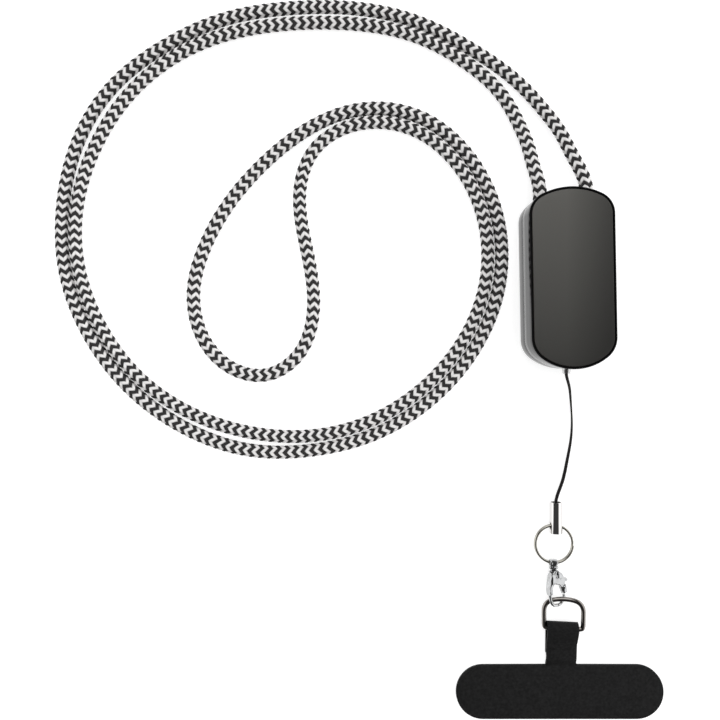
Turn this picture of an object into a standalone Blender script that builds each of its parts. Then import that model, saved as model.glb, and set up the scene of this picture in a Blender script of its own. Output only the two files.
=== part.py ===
"""Phone crossbody strap: a doubled braided rope, a two-shell housing, a thin string, and the metal
links that carry a fabric phone patch. Metres, +Z up, everything lying on the plane z = 0. The origin
is the middle of the housing's back face, and +Y points from the patch past the housing."""

import math

import bmesh
import bpy
import numpy as np

MM = 0.001

# Gaps between pieces that touch on the real object
seat_gap = 0.3 * MM
running_gap = 0.2 * MM

# Housing: two moulded shells and a satin front plate
housing_width = 24.0 * MM
housing_length = 51.2 * MM
housing_height = 16.0 * MM
housing_bow_radius = 15.0 * MM
housing_corner_radius = 7.2 * MM
housing_turn = math.radians(1.05)
shell_wall = 1.8 * MM
back_edge_round = 0.8 * MM
front_edge_round = 0.2 * MM
seam_height = 6.4 * MM
rim_width = 0.35 * MM
plate_thickness = 0.8 * MM
plate_edge_round = 0.25 * MM

# Braided rope
rope_diameter = 3.9 * MM
rope_tucked_in = 4.5 * MM
rope_hole_spacing = 13.6 * MM

# Thin string and the bushing that it leaves the housing by
string_diameter = 1.0 * MM
string_tucked_in = 4.0 * MM
bushing_wall = 0.5 * MM
bushing_nose_length = 1.4 * MM
bushing_flange = 0.5 * MM

# Crimp tube on the string's end
crimp_diameter = 3.8 * MM
crimp_length = 9.2 * MM
crimp_bore = 2.2 * MM
crimp_bore_depth = 5.2 * MM
cross_hole_diameter = 2.4 * MM
cross_hole_from_end = 2.35 * MM
crimp_mouth = (-1.4 * MM, -65.3 * MM)

# Split ring: two turns of round wire
ring_diameter = 11.8 * MM
ring_wire = 0.75 * MM
ring_turn_gap = 0.1 * MM
ring_offset = -0.65 * MM
ring_tilt = math.radians(2.0)

# Swivel eye, turned on a post in the clasp's barrel
eye_wire = 0.8 * MM
eye_offset = -0.25 * MM
swivel_heading = math.radians(3.0)
swivel_pitch = math.radians(5.5)
shoulder_diameter = 2.9 * MM
shoulder_length = 1.25 * MM
post_diameter = 1.1 * MM
post_length = 1.3 * MM
post_head_diameter = 1.8 * MM
post_head_length = 0.4 * MM

# Lobster clasp: barrel, cheeks, hook and sprung lever
clasp_roll = math.radians(28.0)
clasp_thickness = 2.4 * MM
clasp_edge_round = 0.3 * MM
barrel_wall = 0.4 * MM
hook_wire = 0.95 * MM
lever_thickness = 1.0 * MM
lever_edge_round = 0.15 * MM
gate_thickness = 2.0 * MM
gate_edge_round = 0.25 * MM
lever_pivot = (1.7 * MM, 5.0 * MM)
lever_pin_diameter = 0.7 * MM
lever_hub_radius = 1.0 * MM
lever_slot_depth = 7.0 * MM

# D-ring
d_wire = 1.4 * MM
d_width = 12.75 * MM
d_height = 10.25 * MM
d_bar_middle = (0.65 * MM, -102.55 * MM)
d_roll = math.radians(9.0)
d_pitch = math.radians(3.8)

# Fabric patch that lies between a phone and its case
patch_width = 62.0 * MM
patch_height = 16.1 * MM
patch_thickness = 1.0 * MM
patch_middle_x = 0.0 * MM
neck_width = 8.9 * MM
neck_length = 11.6 * MM
neck_middle_x = 0.25 * MM
layer_gap = 0.15 * MM

# Middle line of the two rope strands, from the housing round to the end loop, in millimetres:
# x, y, how far apart the strands' centres lie, and the height of their centres
STRAP_RUN = (
    (-3.1, 35.4, 11.8, 5.1),
    (-5.4, 42.3, 10.3, 3.7),
    (-8.8, 48.9, 8.5, 2.5),
    (-12.8, 54.9, 6.8, 2.0),
    (-17.7, 60.2, 5.4, 1.95),
    (-26.2, 66.7, 4.3, 1.95),
    (-43.1, 75.5, 4.1, 1.95),
    (-61.7, 79.3, 4.6, 1.95),
    (-80.7, 79.3, 4.6, 1.95),
    (-99.4, 76.2, 4.5, 1.95),
    (-116.8, 68.5, 4.2, 1.95),
    (-131.4, 56.5, 5.2, 1.95),
    (-141.4, 40.3, 5.2, 1.95),
    (-146.1, 21.9, 4.1, 1.95),
    (-145.2, 2.9, 4.1, 1.95),
    (-138.3, -14.8, 4.1, 1.95),
    (-126.8, -29.8, 4.1, 1.95),
    (-111.3, -40.8, 4.7, 1.95),
    (-93.4, -47.0, 5.2, 1.95),
    (-74.4, -47.7, 4.3, 1.95),
    (-56.0, -43.1, 4.1, 1.95),
    (-39.9, -33.1, 4.1, 1.95),
    (-27.5, -18.7, 4.1, 1.95),
    (-20.5, -1.2, 4.1, 1.95),
    (-20.6, 17.8, 4.1, 1.95),
    (-28.2, 35.2, 4.1, 1.95),
    (-42.7, 47.3, 4.2, 1.95),
    (-61.2, 49.1, 4.2, 1.95),
)

# Centre of the single rope round the end loop, in millimetres: x, y
END_LOOP = (
    (-80.0, 42.5),
    (-90.1, 33.7),
    (-98.7, 23.5),
    (-105.3, 11.9),
    (-109.2, -2.5),
    (-106.6, -16.0),
    (-98.2, -25.2),
    (-87.6, -27.4),
    (-78.2, -21.6),
    (-73.6, -8.6),
    (-76.0, 12.0),
    (-77.6, 27.0),
    (-73.2, 39.6),
)

# The string's route between its bushing and the crimp tube, in millimetres: x, y, z
STRING_RUN = (
    (1.6, -30.3, 5.0),
    (2.8, -34.4, 2.4),
    (3.6, -39.6, 0.75),
    (3.5, -45.9, 0.52),
    (2.2, -53.5, 0.52),
    (0.6, -59.8, 0.9),
)

# The D-ring's centreline on one side, from the bar's middle to the top of the bow, as shares of
# half its width and of its height
D_SIDE = (
    (0.0, 0.0),
    (0.45, 0.0),
    (0.86, 0.0),
    (0.94, 0.02),
    (0.98, 0.08),
    (0.995, 0.2),
    (1.0, 0.531),
    (0.98, 0.689),
    (0.809, 0.876),
    (0.443, 0.974),
    (0.0, 1.0),
)

# The neck's upper layer from the patch to the fold: share of the neck's length from the bar,
# share of a layer that it sits above the floor, share of the climb to the fold, share of the twist
NECK_OVER = (
    (1.0, 0.0, 0.0, 0.0),
    (0.92, 0.35, 0.0, 0.0),
    (0.84, 0.85, 0.0, 0.0),
    (0.75, 1.05, 0.0, 0.0),
    (0.62, 1.02, 0.03, 0.05),
    (0.5, 1.0, 0.09, 0.18),
    (0.35, 1.0, 0.28, 0.4),
    (0.17, 1.0, 0.68, 0.7),
)

# The layer that returns under the neck: share of the neck's length from the bar, share of the
# climb to the fold, share of the twist
NECK_UNDER = (
    (0.17, 0.82, 0.7),
    (0.35, 0.5, 0.4),
    (0.52, 0.2, 0.15),
    (0.68, 0.03, 0.0),
)

# Outline of the casting's cheeks and left arm in the clasp's own plane, in millimetres: across,
# and along from the split ring's wire
CASTING_OUTLINE = (
    (-1.0, 2.6),
    (1.2, 2.6),
    (2.0, 3.1),
    (2.6, 3.75),
    (2.95, 4.5),
    (3.0, 5.3),
    (2.85, 5.95),
    (2.3, 6.55),
    (1.6, 6.8),
    (0.8, 6.6),
    (-0.3, 6.3),
    (-0.9, 6.2),
    (-1.3, 6.7),
    (-1.6, 7.5),
    (-1.75, 8.3),
    (-1.65, 9.1),
    (-2.55, 9.2),
    (-2.75, 8.3),
    (-2.7, 7.3),
    (-2.5, 6.2),
    (-2.1, 4.8),
    (-1.75, 3.5),
)

# Hook's centreline from inside the left arm round to its tip, in the same plane
HOOK_LINE = (
    (-2.2, 8.4),
    (-2.15, 9.3),
    (-2.05, 10.5),
    (-1.65, 11.55),
    (-1.0, 12.2),
    (-0.1, 12.4),
    (0.75, 12.4),
    (1.55, 12.15),
    (2.3, 11.55),
    (2.85, 10.8),
    (3.1, 10.15),
    (3.15, 9.6),
)

# Outline of the lever's thin part, in millimetres across and along from its pivot
LEVER_OUTLINE = (
    (-0.95, -0.3),
    (-0.65, -0.8),
    (0.0, -1.0),
    (0.65, -0.8),
    (1.5, -0.5),
    (2.6, -0.15),
    (3.05, 0.5),
    (2.7, 0.85),
    (1.9, 1.0),
    (2.05, 2.2),
    (2.15, 3.4),
    (1.0, 4.0),
    (0.6, 3.2),
    (0.1, 2.0),
    (-0.5, 0.9),
    (-0.95, 0.3),
)

# Outline of the lever's thick gate, which closes against the hook's tip
GATE_OUTLINE = (
    (0.15, 2.1),
    (1.0, 2.1),
    (1.85, 1.65),
    (2.05, 2.2),
    (2.2, 3.2),
    (2.15, 4.0),
    (1.05, 4.35),
    (0.75, 3.4),
    (0.45, 2.6),
)


for leftover in list(bpy.data.objects):
    bpy.data.objects.remove(leftover, do_unlink=True)

parts = bpy.data.collections.new("phone_crossbody_strap")
cutters = bpy.data.collections.new("cutters")
bpy.context.scene.collection.children.link(parts)
bpy.context.scene.collection.children.link(cutters)


def material(name, colour, roughness, metallic):
    made = bpy.data.materials.new(name)
    made.use_nodes = True
    shader = made.node_tree.nodes["Principled BSDF"]
    shader.inputs["Base Color"].default_value = (*colour, 1.0)
    shader.inputs["Roughness"].default_value = roughness
    shader.inputs["Metallic"].default_value = metallic
    return made


gloss_black = material("gloss_black_plastic", (0.012, 0.012, 0.012), 0.12, 0.0)
satin_grey = material("satin_grey_plate", (0.115, 0.112, 0.1), 0.38, 0.35)
braid_mix = material("black_and_white_braid", (0.35, 0.35, 0.35), 0.8, 0.0)
black_string = material("black_string", (0.02, 0.02, 0.02), 0.6, 0.0)
chrome = material("chrome", (0.86, 0.86, 0.86), 0.06, 1.0)
nickel = material("dark_nickel", (0.42, 0.41, 0.4), 0.16, 1.0)
black_cloth = material("black_cloth", (0.016, 0.016, 0.017), 0.85, 0.0)


def empty(name, location, rotation, parent=None):
    """A frame that pieces are placed in: its own place and turn, under a parent if it has one."""
    frame = bpy.data.objects.new(name, None)
    frame.location = location
    frame.rotation_euler = rotation
    frame.parent = parent
    parts.objects.link(frame)
    return frame


def place(name, mesh, look, parent=None, location=(0, 0, 0), rotation=(0, 0, 0), smooth=40):
    """A mesh as a named piece."""
    piece = bpy.data.objects.new(name, mesh)
    if look:
        mesh.materials.append(look)
    mesh.shade_smooth()
    mesh.set_sharp_from_angle(angle=math.radians(smooth))
    piece.parent = parent
    piece.location = location
    piece.rotation_euler = rotation
    parts.objects.link(piece)
    return piece


def as_tool(piece):
    """Turns a piece into a helper that only cuts or joins others."""
    parts.objects.unlink(piece)
    cutters.objects.link(piece)
    piece.hide_render = True
    piece.display_type = "WIRE"
    return piece


def boolean(piece, tool, operation):
    step = piece.modifiers.new(f"{operation.lower()}_{tool.name}", "BOOLEAN")
    step.operation = operation
    step.object = tool
    step.solver = "EXACT"


def mesh_of(points, cyclic, diameter, sides):
    """A round bar along points as a closed mesh."""
    line = bpy.data.curves.new("bar", "CURVE")
    line.dimensions = "3D"
    line.bevel_depth = diameter / 2
    line.bevel_resolution = sides
    line.use_fill_caps = True
    spline = line.splines.new("POLY")
    spline.points.add(len(points) - 1)
    for at, point in zip(spline.points, points):
        at.co = (*point, 1.0)
    spline.use_cyclic_u = cyclic
    return welded(line)


def welded(curve):
    """The mesh of a curve with its loose caps joined on; the curve is removed."""
    holder = bpy.data.objects.new("holder", curve)
    parts.objects.link(holder)
    bpy.context.view_layer.update()
    graph = bpy.context.evaluated_depsgraph_get()
    mesh = bpy.data.meshes.new_from_object(holder.evaluated_get(graph))
    bpy.data.objects.remove(holder, do_unlink=True)
    bpy.data.curves.remove(curve)
    form = bmesh.new()
    form.from_mesh(mesh)
    bmesh.ops.remove_doubles(form, verts=form.verts, dist=1e-6)
    bmesh.ops.recalc_face_normals(form, faces=form.faces)
    form.to_mesh(mesh)
    form.free()
    return mesh


def slab(outline, bottom, top):
    """A flat outline of (x, y) points as a closed mesh between two heights."""
    shape = bpy.data.curves.new("outline", "CURVE")
    shape.dimensions = "2D"
    shape.fill_mode = "BOTH"
    shape.extrude = (top - bottom) / 2
    spline = shape.splines.new("POLY")
    spline.points.add(len(outline) - 1)
    for at, (x, y) in zip(spline.points, outline):
        at.co = (x, y, 0.0, 1.0)
    spline.use_cyclic_u = True
    mesh = welded(shape)
    for vertex in mesh.vertices:
        vertex.co.z += (top + bottom) / 2
    return mesh


def rounded(mesh, width, height=None, segments=2):
    """Rounds the sharp outline edges of a slab, all of them or only those at one height."""
    form = bmesh.new()
    form.from_mesh(mesh)
    bmesh.ops.dissolve_limit(
        form, angle_limit=math.radians(0.5), verts=form.verts, edges=form.edges
    )
    level = 1e-7
    chosen = [
        edge
        for edge in form.edges
        if abs(edge.verts[0].co.z - edge.verts[1].co.z) < level
        and len(edge.link_faces) == 2
        and edge.calc_face_angle(0) > math.radians(60)
        and (height is None or abs(edge.verts[0].co.z - height) < level)
    ]
    bmesh.ops.bevel(
        form,
        geom=chosen,
        offset=width,
        segments=segments,
        profile=0.5,
        affect="EDGES",
        clamp_overlap=True,
        material=-1,
    )
    form.to_mesh(mesh)
    form.free()
    return mesh


def turned(name, profile, look, parent, location=(0, 0, 0), steps=32):
    """A turned piece on its own Z axis from (radius, height) points, top to bottom."""
    mesh = bpy.data.meshes.new(name)
    rows = [(radius, 0.0, height) for radius, height in profile]
    mesh.from_pydata(rows, [(i, i + 1) for i in range(len(rows) - 1)], [])
    piece = place(name, mesh, look, parent, location)
    screw = piece.modifiers.new("turn", "SCREW")
    screw.steps = steps
    screw.render_steps = steps
    screw.use_merge_vertices = True
    screw.merge_threshold = 1e-6
    screw.use_smooth_shade = False
    return piece


def rod(name, diameter, length, look, parent, location, rotation, sides=32):
    """A plain cylinder centred on its place, along its own Z axis."""
    form = bmesh.new()
    bmesh.ops.create_cone(
        form,
        cap_ends=True,
        segments=sides,
        radius1=diameter / 2,
        radius2=diameter / 2,
        depth=length,
    )
    mesh = bpy.data.meshes.new(name)
    form.to_mesh(mesh)
    form.free()
    return place(name, mesh, look, parent, location, rotation)


def smooth_curve(points, at, closed=False):
    """Points of the cubic spline through a list of points, read at positions counted in points."""
    knots = np.asarray(points, float)
    if closed:
        knots = np.vstack([knots[-4:], knots, knots[:5]])
        at = np.asarray(at, float) + 4
    steps = np.linalg.norm(np.diff(knots, axis=0), axis=1)
    along = np.concatenate([[0.0], np.cumsum(steps)])
    count = len(knots)
    system = np.zeros((count, count))
    right = np.zeros_like(knots)
    system[0, 0] = 1.0
    system[-1, -1] = 1.0
    for i in range(1, count - 1):
        before, after = steps[i - 1], steps[i]
        system[i, i - 1 : i + 2] = before, 2 * (before + after), after
        right[i] = 6 * ((knots[i + 1] - knots[i]) / after - (knots[i] - knots[i - 1]) / before)
    bend = np.linalg.solve(system, right)
    s = np.interp(at, np.arange(count), along)
    i = np.clip(np.searchsorted(along, s, side="right") - 1, 0, count - 2)
    h = steps[i][:, None]
    a = ((along[i + 1] - s) / steps[i])[:, None]
    b = 1 - a
    bent = ((a**3 - a) * bend[i] + (b**3 - b) * bend[i + 1]) * h**2 / 6
    return a * knots[i] + b * knots[i + 1] + bent


def arc_points(centre, radius, start, end, steps):
    """Points on an arc, angles in degrees, both ends included."""
    turns = np.radians(np.linspace(start, end, steps + 1))
    return [(centre[0] + radius * math.cos(t), centre[1] + radius * math.sin(t)) for t in turns]


def housing_outline(inset):
    """Plan of the housing: straight sides, corner arcs and gently bowed ends, anticlockwise."""
    half_width = housing_width / 2 - inset
    half_length = housing_length / 2 - inset
    corner = housing_corner_radius - inset
    bow = housing_bow_radius - inset
    across = half_width - corner
    reach = bow - corner
    corner_y = half_length - bow + math.sqrt(reach**2 - across**2)
    meet = math.degrees(math.acos(across / reach))
    quarter = arc_points((across, corner_y), corner, 0.0, meet, 7)
    quarter += arc_points((0.0, half_length - bow), bow, meet, 90.0, 6)[1:]
    half = quarter + [(-x, y) for x, y in reversed(quarter[:-1])]
    return half + [(-x, -y) for x, y in half]


def build_housing():
    frame = empty("housing_frame", (0, 0, 0), (0, 0, housing_turn))
    back_top = seam_height - running_gap / 2
    front_bottom = seam_height + running_gap / 2
    recess_floor = housing_height - plate_thickness - running_gap
    outer = housing_outline(0.0)

    back = place(
        "housing_back_shell",
        rounded(slab(outer, 0.0, back_top), back_edge_round, height=0.0, segments=3),
        gloss_black,
        frame,
    )
    back_pocket = as_tool(
        place("back_pocket", slab(housing_outline(shell_wall), shell_wall, housing_height), None, frame)
    )
    boolean(back, back_pocket, "DIFFERENCE")

    front = place(
        "housing_front_shell",
        rounded(slab(outer, front_bottom, housing_height), front_edge_round, height=housing_height),
        gloss_black,
        frame,
    )
    front_pocket = as_tool(
        place(
            "front_pocket",
            slab(housing_outline(shell_wall), 0.0, recess_floor - shell_wall),
            None,
            frame,
        )
    )
    recess = as_tool(
        place(
            "plate_recess",
            slab(housing_outline(rim_width), recess_floor, housing_height * 2),
            None,
            frame,
        )
    )
    boolean(front, front_pocket, "DIFFERENCE")
    boolean(front, recess, "DIFFERENCE")

    hole = rope_diameter + 2 * seat_gap
    end = housing_length / 2
    for side, word in ((-1, "left"), (1, "right")):
        at = (side * rope_hole_spacing / 2, end, seam_height)
        cutter = as_tool(
            rod(f"rope_hole_{word}", hole, housing_length / 2, None, frame, at, (math.pi / 2, 0, 0), 24)
        )
        boolean(back, cutter, "DIFFERENCE")
        boolean(front, cutter, "DIFFERENCE")
    bushing_hole = bushing_body_diameter() + 2 * running_gap
    cutter = as_tool(
        rod(
            "bushing_hole",
            bushing_hole,
            housing_length / 2,
            None,
            frame,
            (0, -end, seam_height),
            (math.pi / 2, 0, 0),
            24,
        )
    )
    boolean(back, cutter, "DIFFERENCE")
    boolean(front, cutter, "DIFFERENCE")

    place(
        "housing_front_plate",
        rounded(
            slab(
                housing_outline(rim_width + running_gap),
                housing_height - plate_thickness,
                housing_height,
            ),
            plate_edge_round,
            height=housing_height,
        ),
        satin_grey,
        frame,
    )
    return frame


def bushing_body_diameter():
    return string_diameter + 2 * (seat_gap + bushing_wall)


def build_bushing(frame):
    """The little tapered bushing in the housing's lower end that the string runs through."""
    bore = string_diameter / 2 + seat_gap
    body = bushing_body_diameter() / 2
    inner_end = shell_wall + running_gap
    bushing = turned(
        "string_bushing",
        [
            (bore, bushing_nose_length),
            (bore + bushing_wall / 2, bushing_nose_length),
            (body, running_gap),
            (body, -inner_end),
            (body + bushing_flange, -inner_end),
            (body + bushing_flange, -inner_end - bushing_flange),
            (bore, -inner_end - bushing_flange),
            (bore, bushing_nose_length),
        ],
        chrome,
        frame,
        (0, -housing_length / 2, seam_height),
        steps=24,
    )
    bushing.rotation_euler = (math.pi / 2, 0, 0)


def housing_point(x, y, z):
    """A point given in the housing's own frame, in the object's frame."""
    turn = complex(math.cos(housing_turn), math.sin(housing_turn))
    moved = complex(x, y) * turn
    return (moved.real, moved.imag, z)


def rope_route():
    """The rope's control points from one hole round the end loop and back to the other hole, and
    how many of them belong to one strand."""
    rows = np.array(STRAP_RUN) * MM
    middle = rows[:, :2]
    count = len(rows)
    fine = smooth_curve(middle, np.repeat(np.arange(count), 2) + np.tile([-0.01, 0.01], count))
    heading = fine[1::2] - fine[0::2]
    heading[0] = middle[1] - middle[0]
    heading[-1] = 2 * heading[-2] - heading[-3]
    heading /= np.linalg.norm(heading, axis=1)[:, None]
    outward = np.stack([heading[:, 1], -heading[:, 0]], axis=1)
    strands = []
    for side in (1, -1):
        flat = middle + outward * side * rows[:, 2:3] / 2
        hole_x = side * rope_hole_spacing / 2
        wall = housing_length / 2
        start = [
            housing_point(hole_x, wall - shell_wall - rope_tucked_in, seam_height),
            housing_point(hole_x, wall - shell_wall, seam_height),
            housing_point(hole_x, wall + rope_diameter / 2, seam_height - seat_gap),
        ]
        strands.append(start + [(x, y, z) for (x, y), z in zip(flat, rows[:, 3])])
    loop = [(x * MM, y * MM, rope_diameter / 2) for x, y in END_LOOP]
    return strands[0] + loop + strands[1][::-1], len(strands[0])


def cord(name, points, diameter, look):
    """A cord as a tube with filled caps along a POLY spline."""
    line = bpy.data.curves.new(name, "CURVE")
    line.dimensions = "3D"
    line.bevel_depth = diameter / 2
    line.bevel_resolution = 2
    line.use_fill_caps = True
    spline = line.splines.new("POLY")
    spline.points.add(len(points) - 1)
    for at, point in zip(spline.points, points):
        at.co = (*point, 1.0)
    line.materials.append(look)
    piece = bpy.data.objects.new(name, line)
    parts.objects.link(piece)
    return piece


def build_rope():
    """One tube; the two strands have their points abreast of each other, so that they stay apart."""
    route, strand = rope_route()
    last = len(route) - 1
    abreast = np.linspace(0.0, strand - 1, strand + 1)
    loop = np.linspace(strand - 1, last - strand + 1, len(END_LOOP) + 6)[1:-1]
    at = np.concatenate([abreast, loop, last - abreast[::-1]])
    cord("strap_rope", smooth_curve(route, at), rope_diameter, braid_mix)


def build_string():
    wall = housing_length / 2
    x, y = crimp_mouth
    height = crimp_diameter / 2
    route = [
        housing_point(0, -wall + shell_wall + string_tucked_in, seam_height),
        housing_point(0, -wall + shell_wall, seam_height),
        housing_point(0, -wall - bushing_nose_length, seam_height - seat_gap / 2),
    ]
    route += [tuple(value * MM for value in row) for row in STRING_RUN]
    route += [(x, y + seat_gap, height), (x, y - string_tucked_in, height)]
    at = np.linspace(0.0, len(route) - 1, 2 * len(route) - 3)
    cord("string", smooth_curve(route, at), string_diameter, black_string)


def build_crimp():
    x, y = crimp_mouth
    middle = (x, y - crimp_length / 2, crimp_diameter / 2)
    lie_down = (math.pi / 2, 0, 0)
    crimp = rod("crimp_tube", crimp_diameter, crimp_length, chrome, None, middle, lie_down)
    bore = as_tool(
        rod(
            "crimp_bore_cut",
            crimp_bore,
            2 * crimp_bore_depth,
            None,
            None,
            (x, y, crimp_diameter / 2),
            lie_down,
        )
    )
    across = as_tool(
        rod(
            "cross_hole_cut",
            cross_hole_diameter,
            2 * crimp_diameter,
            None,
            None,
            (x, y - crimp_length + cross_hole_from_end, crimp_diameter / 2),
            (0, math.pi / 2, 0),
        )
    )
    boolean(crimp, bore, "DIFFERENCE")
    boolean(crimp, across, "DIFFERENCE")


def ring_middle():
    """The split ring's centre: its wire runs through the middle of the crimp's cross hole."""
    x, y = crimp_mouth
    radius = (ring_diameter - ring_wire) / 2
    drop = math.sqrt(radius**2 - ring_offset**2)
    return (
        x + ring_offset,
        y - crimp_length + cross_hole_from_end - drop * math.cos(ring_tilt),
        crimp_diameter / 2 + drop * math.sin(ring_tilt),
    )


def build_split_ring():
    """Two turns of wire, each flat, with a short step from one to the other on the right side."""
    radius = (ring_diameter - ring_wire) / 2
    rise = ring_wire + ring_turn_gap
    per_turn = 28
    start = math.radians(20.0)
    points = []
    for i in range(2 * per_turn - 1):
        turn = i / per_turn
        climb = min(max((turn - 0.9) / 0.2, 0.0), 1.0)
        angle = start + 2 * math.pi * turn
        points.append(
            (radius * math.cos(angle), radius * math.sin(angle), rise * (climb - 0.5))
        )
    place(
        "split_ring",
        mesh_of(points, False, ring_wire, 1),
        nickel,
        None,
        ring_middle(),
        (-ring_tilt, 0, 0),
    )


def swivel_middle():
    """The middle of the split ring's wire where the swivel's eye hangs on it."""
    x, y, z = ring_middle()
    radius = (ring_diameter - ring_wire) / 2
    return (
        x + eye_offset,
        y - radius * math.cos(ring_tilt),
        z + radius * math.sin(ring_tilt),
    )


def build_swivel(frame):
    """The eye that the ring runs through, with its shoulder, post and head in one piece."""
    bundle = 2 * ring_wire + ring_turn_gap
    half_wide = ring_wire / 2 + seat_gap + eye_wire / 2
    half_high = bundle / 2 + seat_gap + eye_wire / 2
    straight = half_high - half_wide
    loop = arc_points((0.0, straight), half_wide, 0.0, 180.0, 10)
    loop += arc_points((0.0, -straight), half_wide, 180.0, 360.0, 10)
    eye = place(
        "swivel_eye",
        mesh_of([(0.0, y, z) for y, z in loop], True, eye_wire, 2),
        chrome,
        frame,
    )
    shoulder = shoulder_start()
    head = post_head_diameter / 2
    stem = post_diameter / 2
    end = shoulder + shoulder_length + post_length
    post = turned(
        "swivel_post",
        [
            (0.0, -shoulder),
            (shoulder_diameter * 0.3, -shoulder),
            (shoulder_diameter * 0.46, -shoulder - shoulder_length * 0.2),
            (shoulder_diameter / 2, -shoulder - shoulder_length * 0.5),
            (shoulder_diameter * 0.46, -shoulder - shoulder_length * 0.8),
            (shoulder_diameter * 0.36, -shoulder - shoulder_length),
            (stem, -shoulder - shoulder_length),
            (stem, -end + post_head_length),
            (head, -end + post_head_length),
            (head, -end),
            (0.0, -end),
        ],
        None,
        frame,
    )
    post.rotation_euler = (-math.pi / 2, 0, 0)
    boolean(eye, as_tool(post), "UNION")


def shoulder_start():
    """How far from the eye's middle its shoulder begins."""
    return ring_wire / 2 + seat_gap + eye_wire * 0.15


def barrel_start():
    return shoulder_start() + shoulder_length + running_gap


def clasp_plan(outline):
    """An outline given across and along the clasp in millimetres, as metres in the clasp's frame."""
    return [(across * MM, -along * MM) for across, along in reversed(outline)]


def build_clasp(frame):
    """The clasp's casting: barrel, slotted cheeks, hook and the lever's pin, all one piece."""
    half = clasp_thickness / 2
    pivot = (lever_pivot[0], -lever_pivot[1], 0)
    clasp = place(
        "clasp_body",
        rounded(slab(clasp_plan(CASTING_OUTLINE), -half, half), clasp_edge_round),
        chrome,
        frame,
    )
    line = [(x, y, 0.0) for x, y in clasp_plan(HOOK_LINE)]
    at = np.linspace(0, len(line) - 1, 23)
    hook = as_tool(
        place("hook_wire", mesh_of(smooth_curve(line, at), False, hook_wire, 3), None, frame)
    )
    boolean(clasp, hook, "UNION")

    mouth = barrel_start()
    head_start = shoulder_start() + shoulder_length + post_length - post_head_length - running_gap
    head_room = post_head_length + 2 * running_gap
    bore = post_diameter / 2 + running_gap
    room = post_head_diameter / 2 + running_gap
    outer = room + barrel_wall
    closed_end = head_start + head_room + barrel_wall
    barrel = turned(
        "clasp_barrel",
        [
            (0.0, -mouth),
            (outer * 0.8, -mouth),
            (outer, -mouth - barrel_wall / 2),
            (outer, -closed_end + barrel_wall / 2),
            (outer * 0.8, -closed_end),
            (0.0, -closed_end),
        ],
        None,
        frame,
    )
    barrel.rotation_euler = (-math.pi / 2, 0, 0)
    boolean(clasp, as_tool(barrel), "UNION")
    post_room = turned(
        "post_room",
        [
            (0.0, 0.0),
            (bore, 0.0),
            (bore, -head_start),
            (room, -head_start),
            (room, -head_start - head_room),
            (0.0, -head_start - head_room),
        ],
        None,
        frame,
    )
    post_room.rotation_euler = (-math.pi / 2, 0, 0)
    boolean(clasp, as_tool(post_room), "DIFFERENCE")

    slot_half = lever_thickness / 2 + running_gap
    reach = lever_hub_radius + running_gap
    slot_left = pivot[0] - reach
    slot_right = pivot[0] + 3 * reach
    slot = as_tool(
        place(
            "lever_slot",
            slab(
                [
                    (slot_left, -lever_slot_depth),
                    (slot_right, -lever_slot_depth),
                    (slot_right, pivot[1] + reach),
                    (slot_left, pivot[1] + reach),
                ],
                -slot_half,
                slot_half,
            ),
            None,
            frame,
        )
    )
    boolean(clasp, slot, "DIFFERENCE")
    pin = as_tool(
        rod(
            "lever_pin",
            lever_pin_diameter,
            clasp_thickness - clasp_edge_round,
            None,
            frame,
            pivot,
            (0, 0, 0),
            16,
        )
    )
    boolean(clasp, pin, "UNION")

    half = lever_thickness / 2
    lever = place(
        "clasp_lever",
        rounded(slab(clasp_plan(LEVER_OUTLINE), -half, half), lever_edge_round),
        chrome,
        frame,
        pivot,
    )
    half = gate_thickness / 2
    gate = as_tool(
        place(
            "lever_gate",
            rounded(slab(clasp_plan(GATE_OUTLINE), -half, half), gate_edge_round),
            None,
            frame,
            pivot,
        )
    )
    boolean(lever, gate, "UNION")
    pivot_hole = as_tool(
        rod(
            "lever_pivot_hole",
            lever_pin_diameter + 2 * running_gap,
            clasp_thickness,
            None,
            frame,
            pivot,
            (0, 0, 0),
            16,
        )
    )
    boolean(lever, pivot_hole, "DIFFERENCE")


def bar_height():
    """Height of the D-ring's bar: on the under layer, with room for its tilt."""
    lift = neck_width / 2 * math.tan(d_roll)
    return patch_thickness + fold_radius() - patch_thickness / 2 + lift


def fold_radius():
    """Radius of the middle of the cloth where it turns round the bar."""
    return d_wire / 2 + seat_gap + patch_thickness / 2


def build_d_ring():
    x, y = d_bar_middle
    frame = empty("d_ring_frame", (x, y, bar_height()), (d_pitch, -d_roll, 0))
    half = (d_width - d_wire) / 2
    tall = d_height - d_wire
    side = [(a * half, b * tall, 0.0) for a, b in D_SIDE]
    loop = side + [(-px, py, 0.0) for px, py, _ in reversed(side[1:-1])]
    at = np.arange(0, len(loop), 0.5)
    points = smooth_curve(loop, at, closed=True)
    place("d_ring", mesh_of(points, True, d_wire, 3), nickel, frame)


def neck_rows():
    """The neck's middle surface from the patch over the fold and back under: y, z and the lift of
    its right side."""
    _, bar_y = d_bar_middle
    radius = fold_radius()
    top = bar_height() + radius
    bottom = bar_height() - radius
    lift = math.tan(d_roll)
    layer = patch_thickness + layer_gap
    rows = []
    for along, seat, climb, twist in NECK_OVER:
        base = patch_thickness / 2 + seat * layer
        height = base + climb * (top - patch_thickness / 2 - layer)
        rows.append((bar_y - along * neck_length, height, lift * twist))
    for y, z in arc_points((bar_y, bar_height()), radius, 90.0, -90.0, 8):
        rows.append((y, z, lift))
    for along, climb, twist in NECK_UNDER:
        height = patch_thickness / 2 + climb * (bottom - patch_thickness / 2)
        rows.append((bar_y - along * neck_length, height, lift * twist))
    return rows


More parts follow.
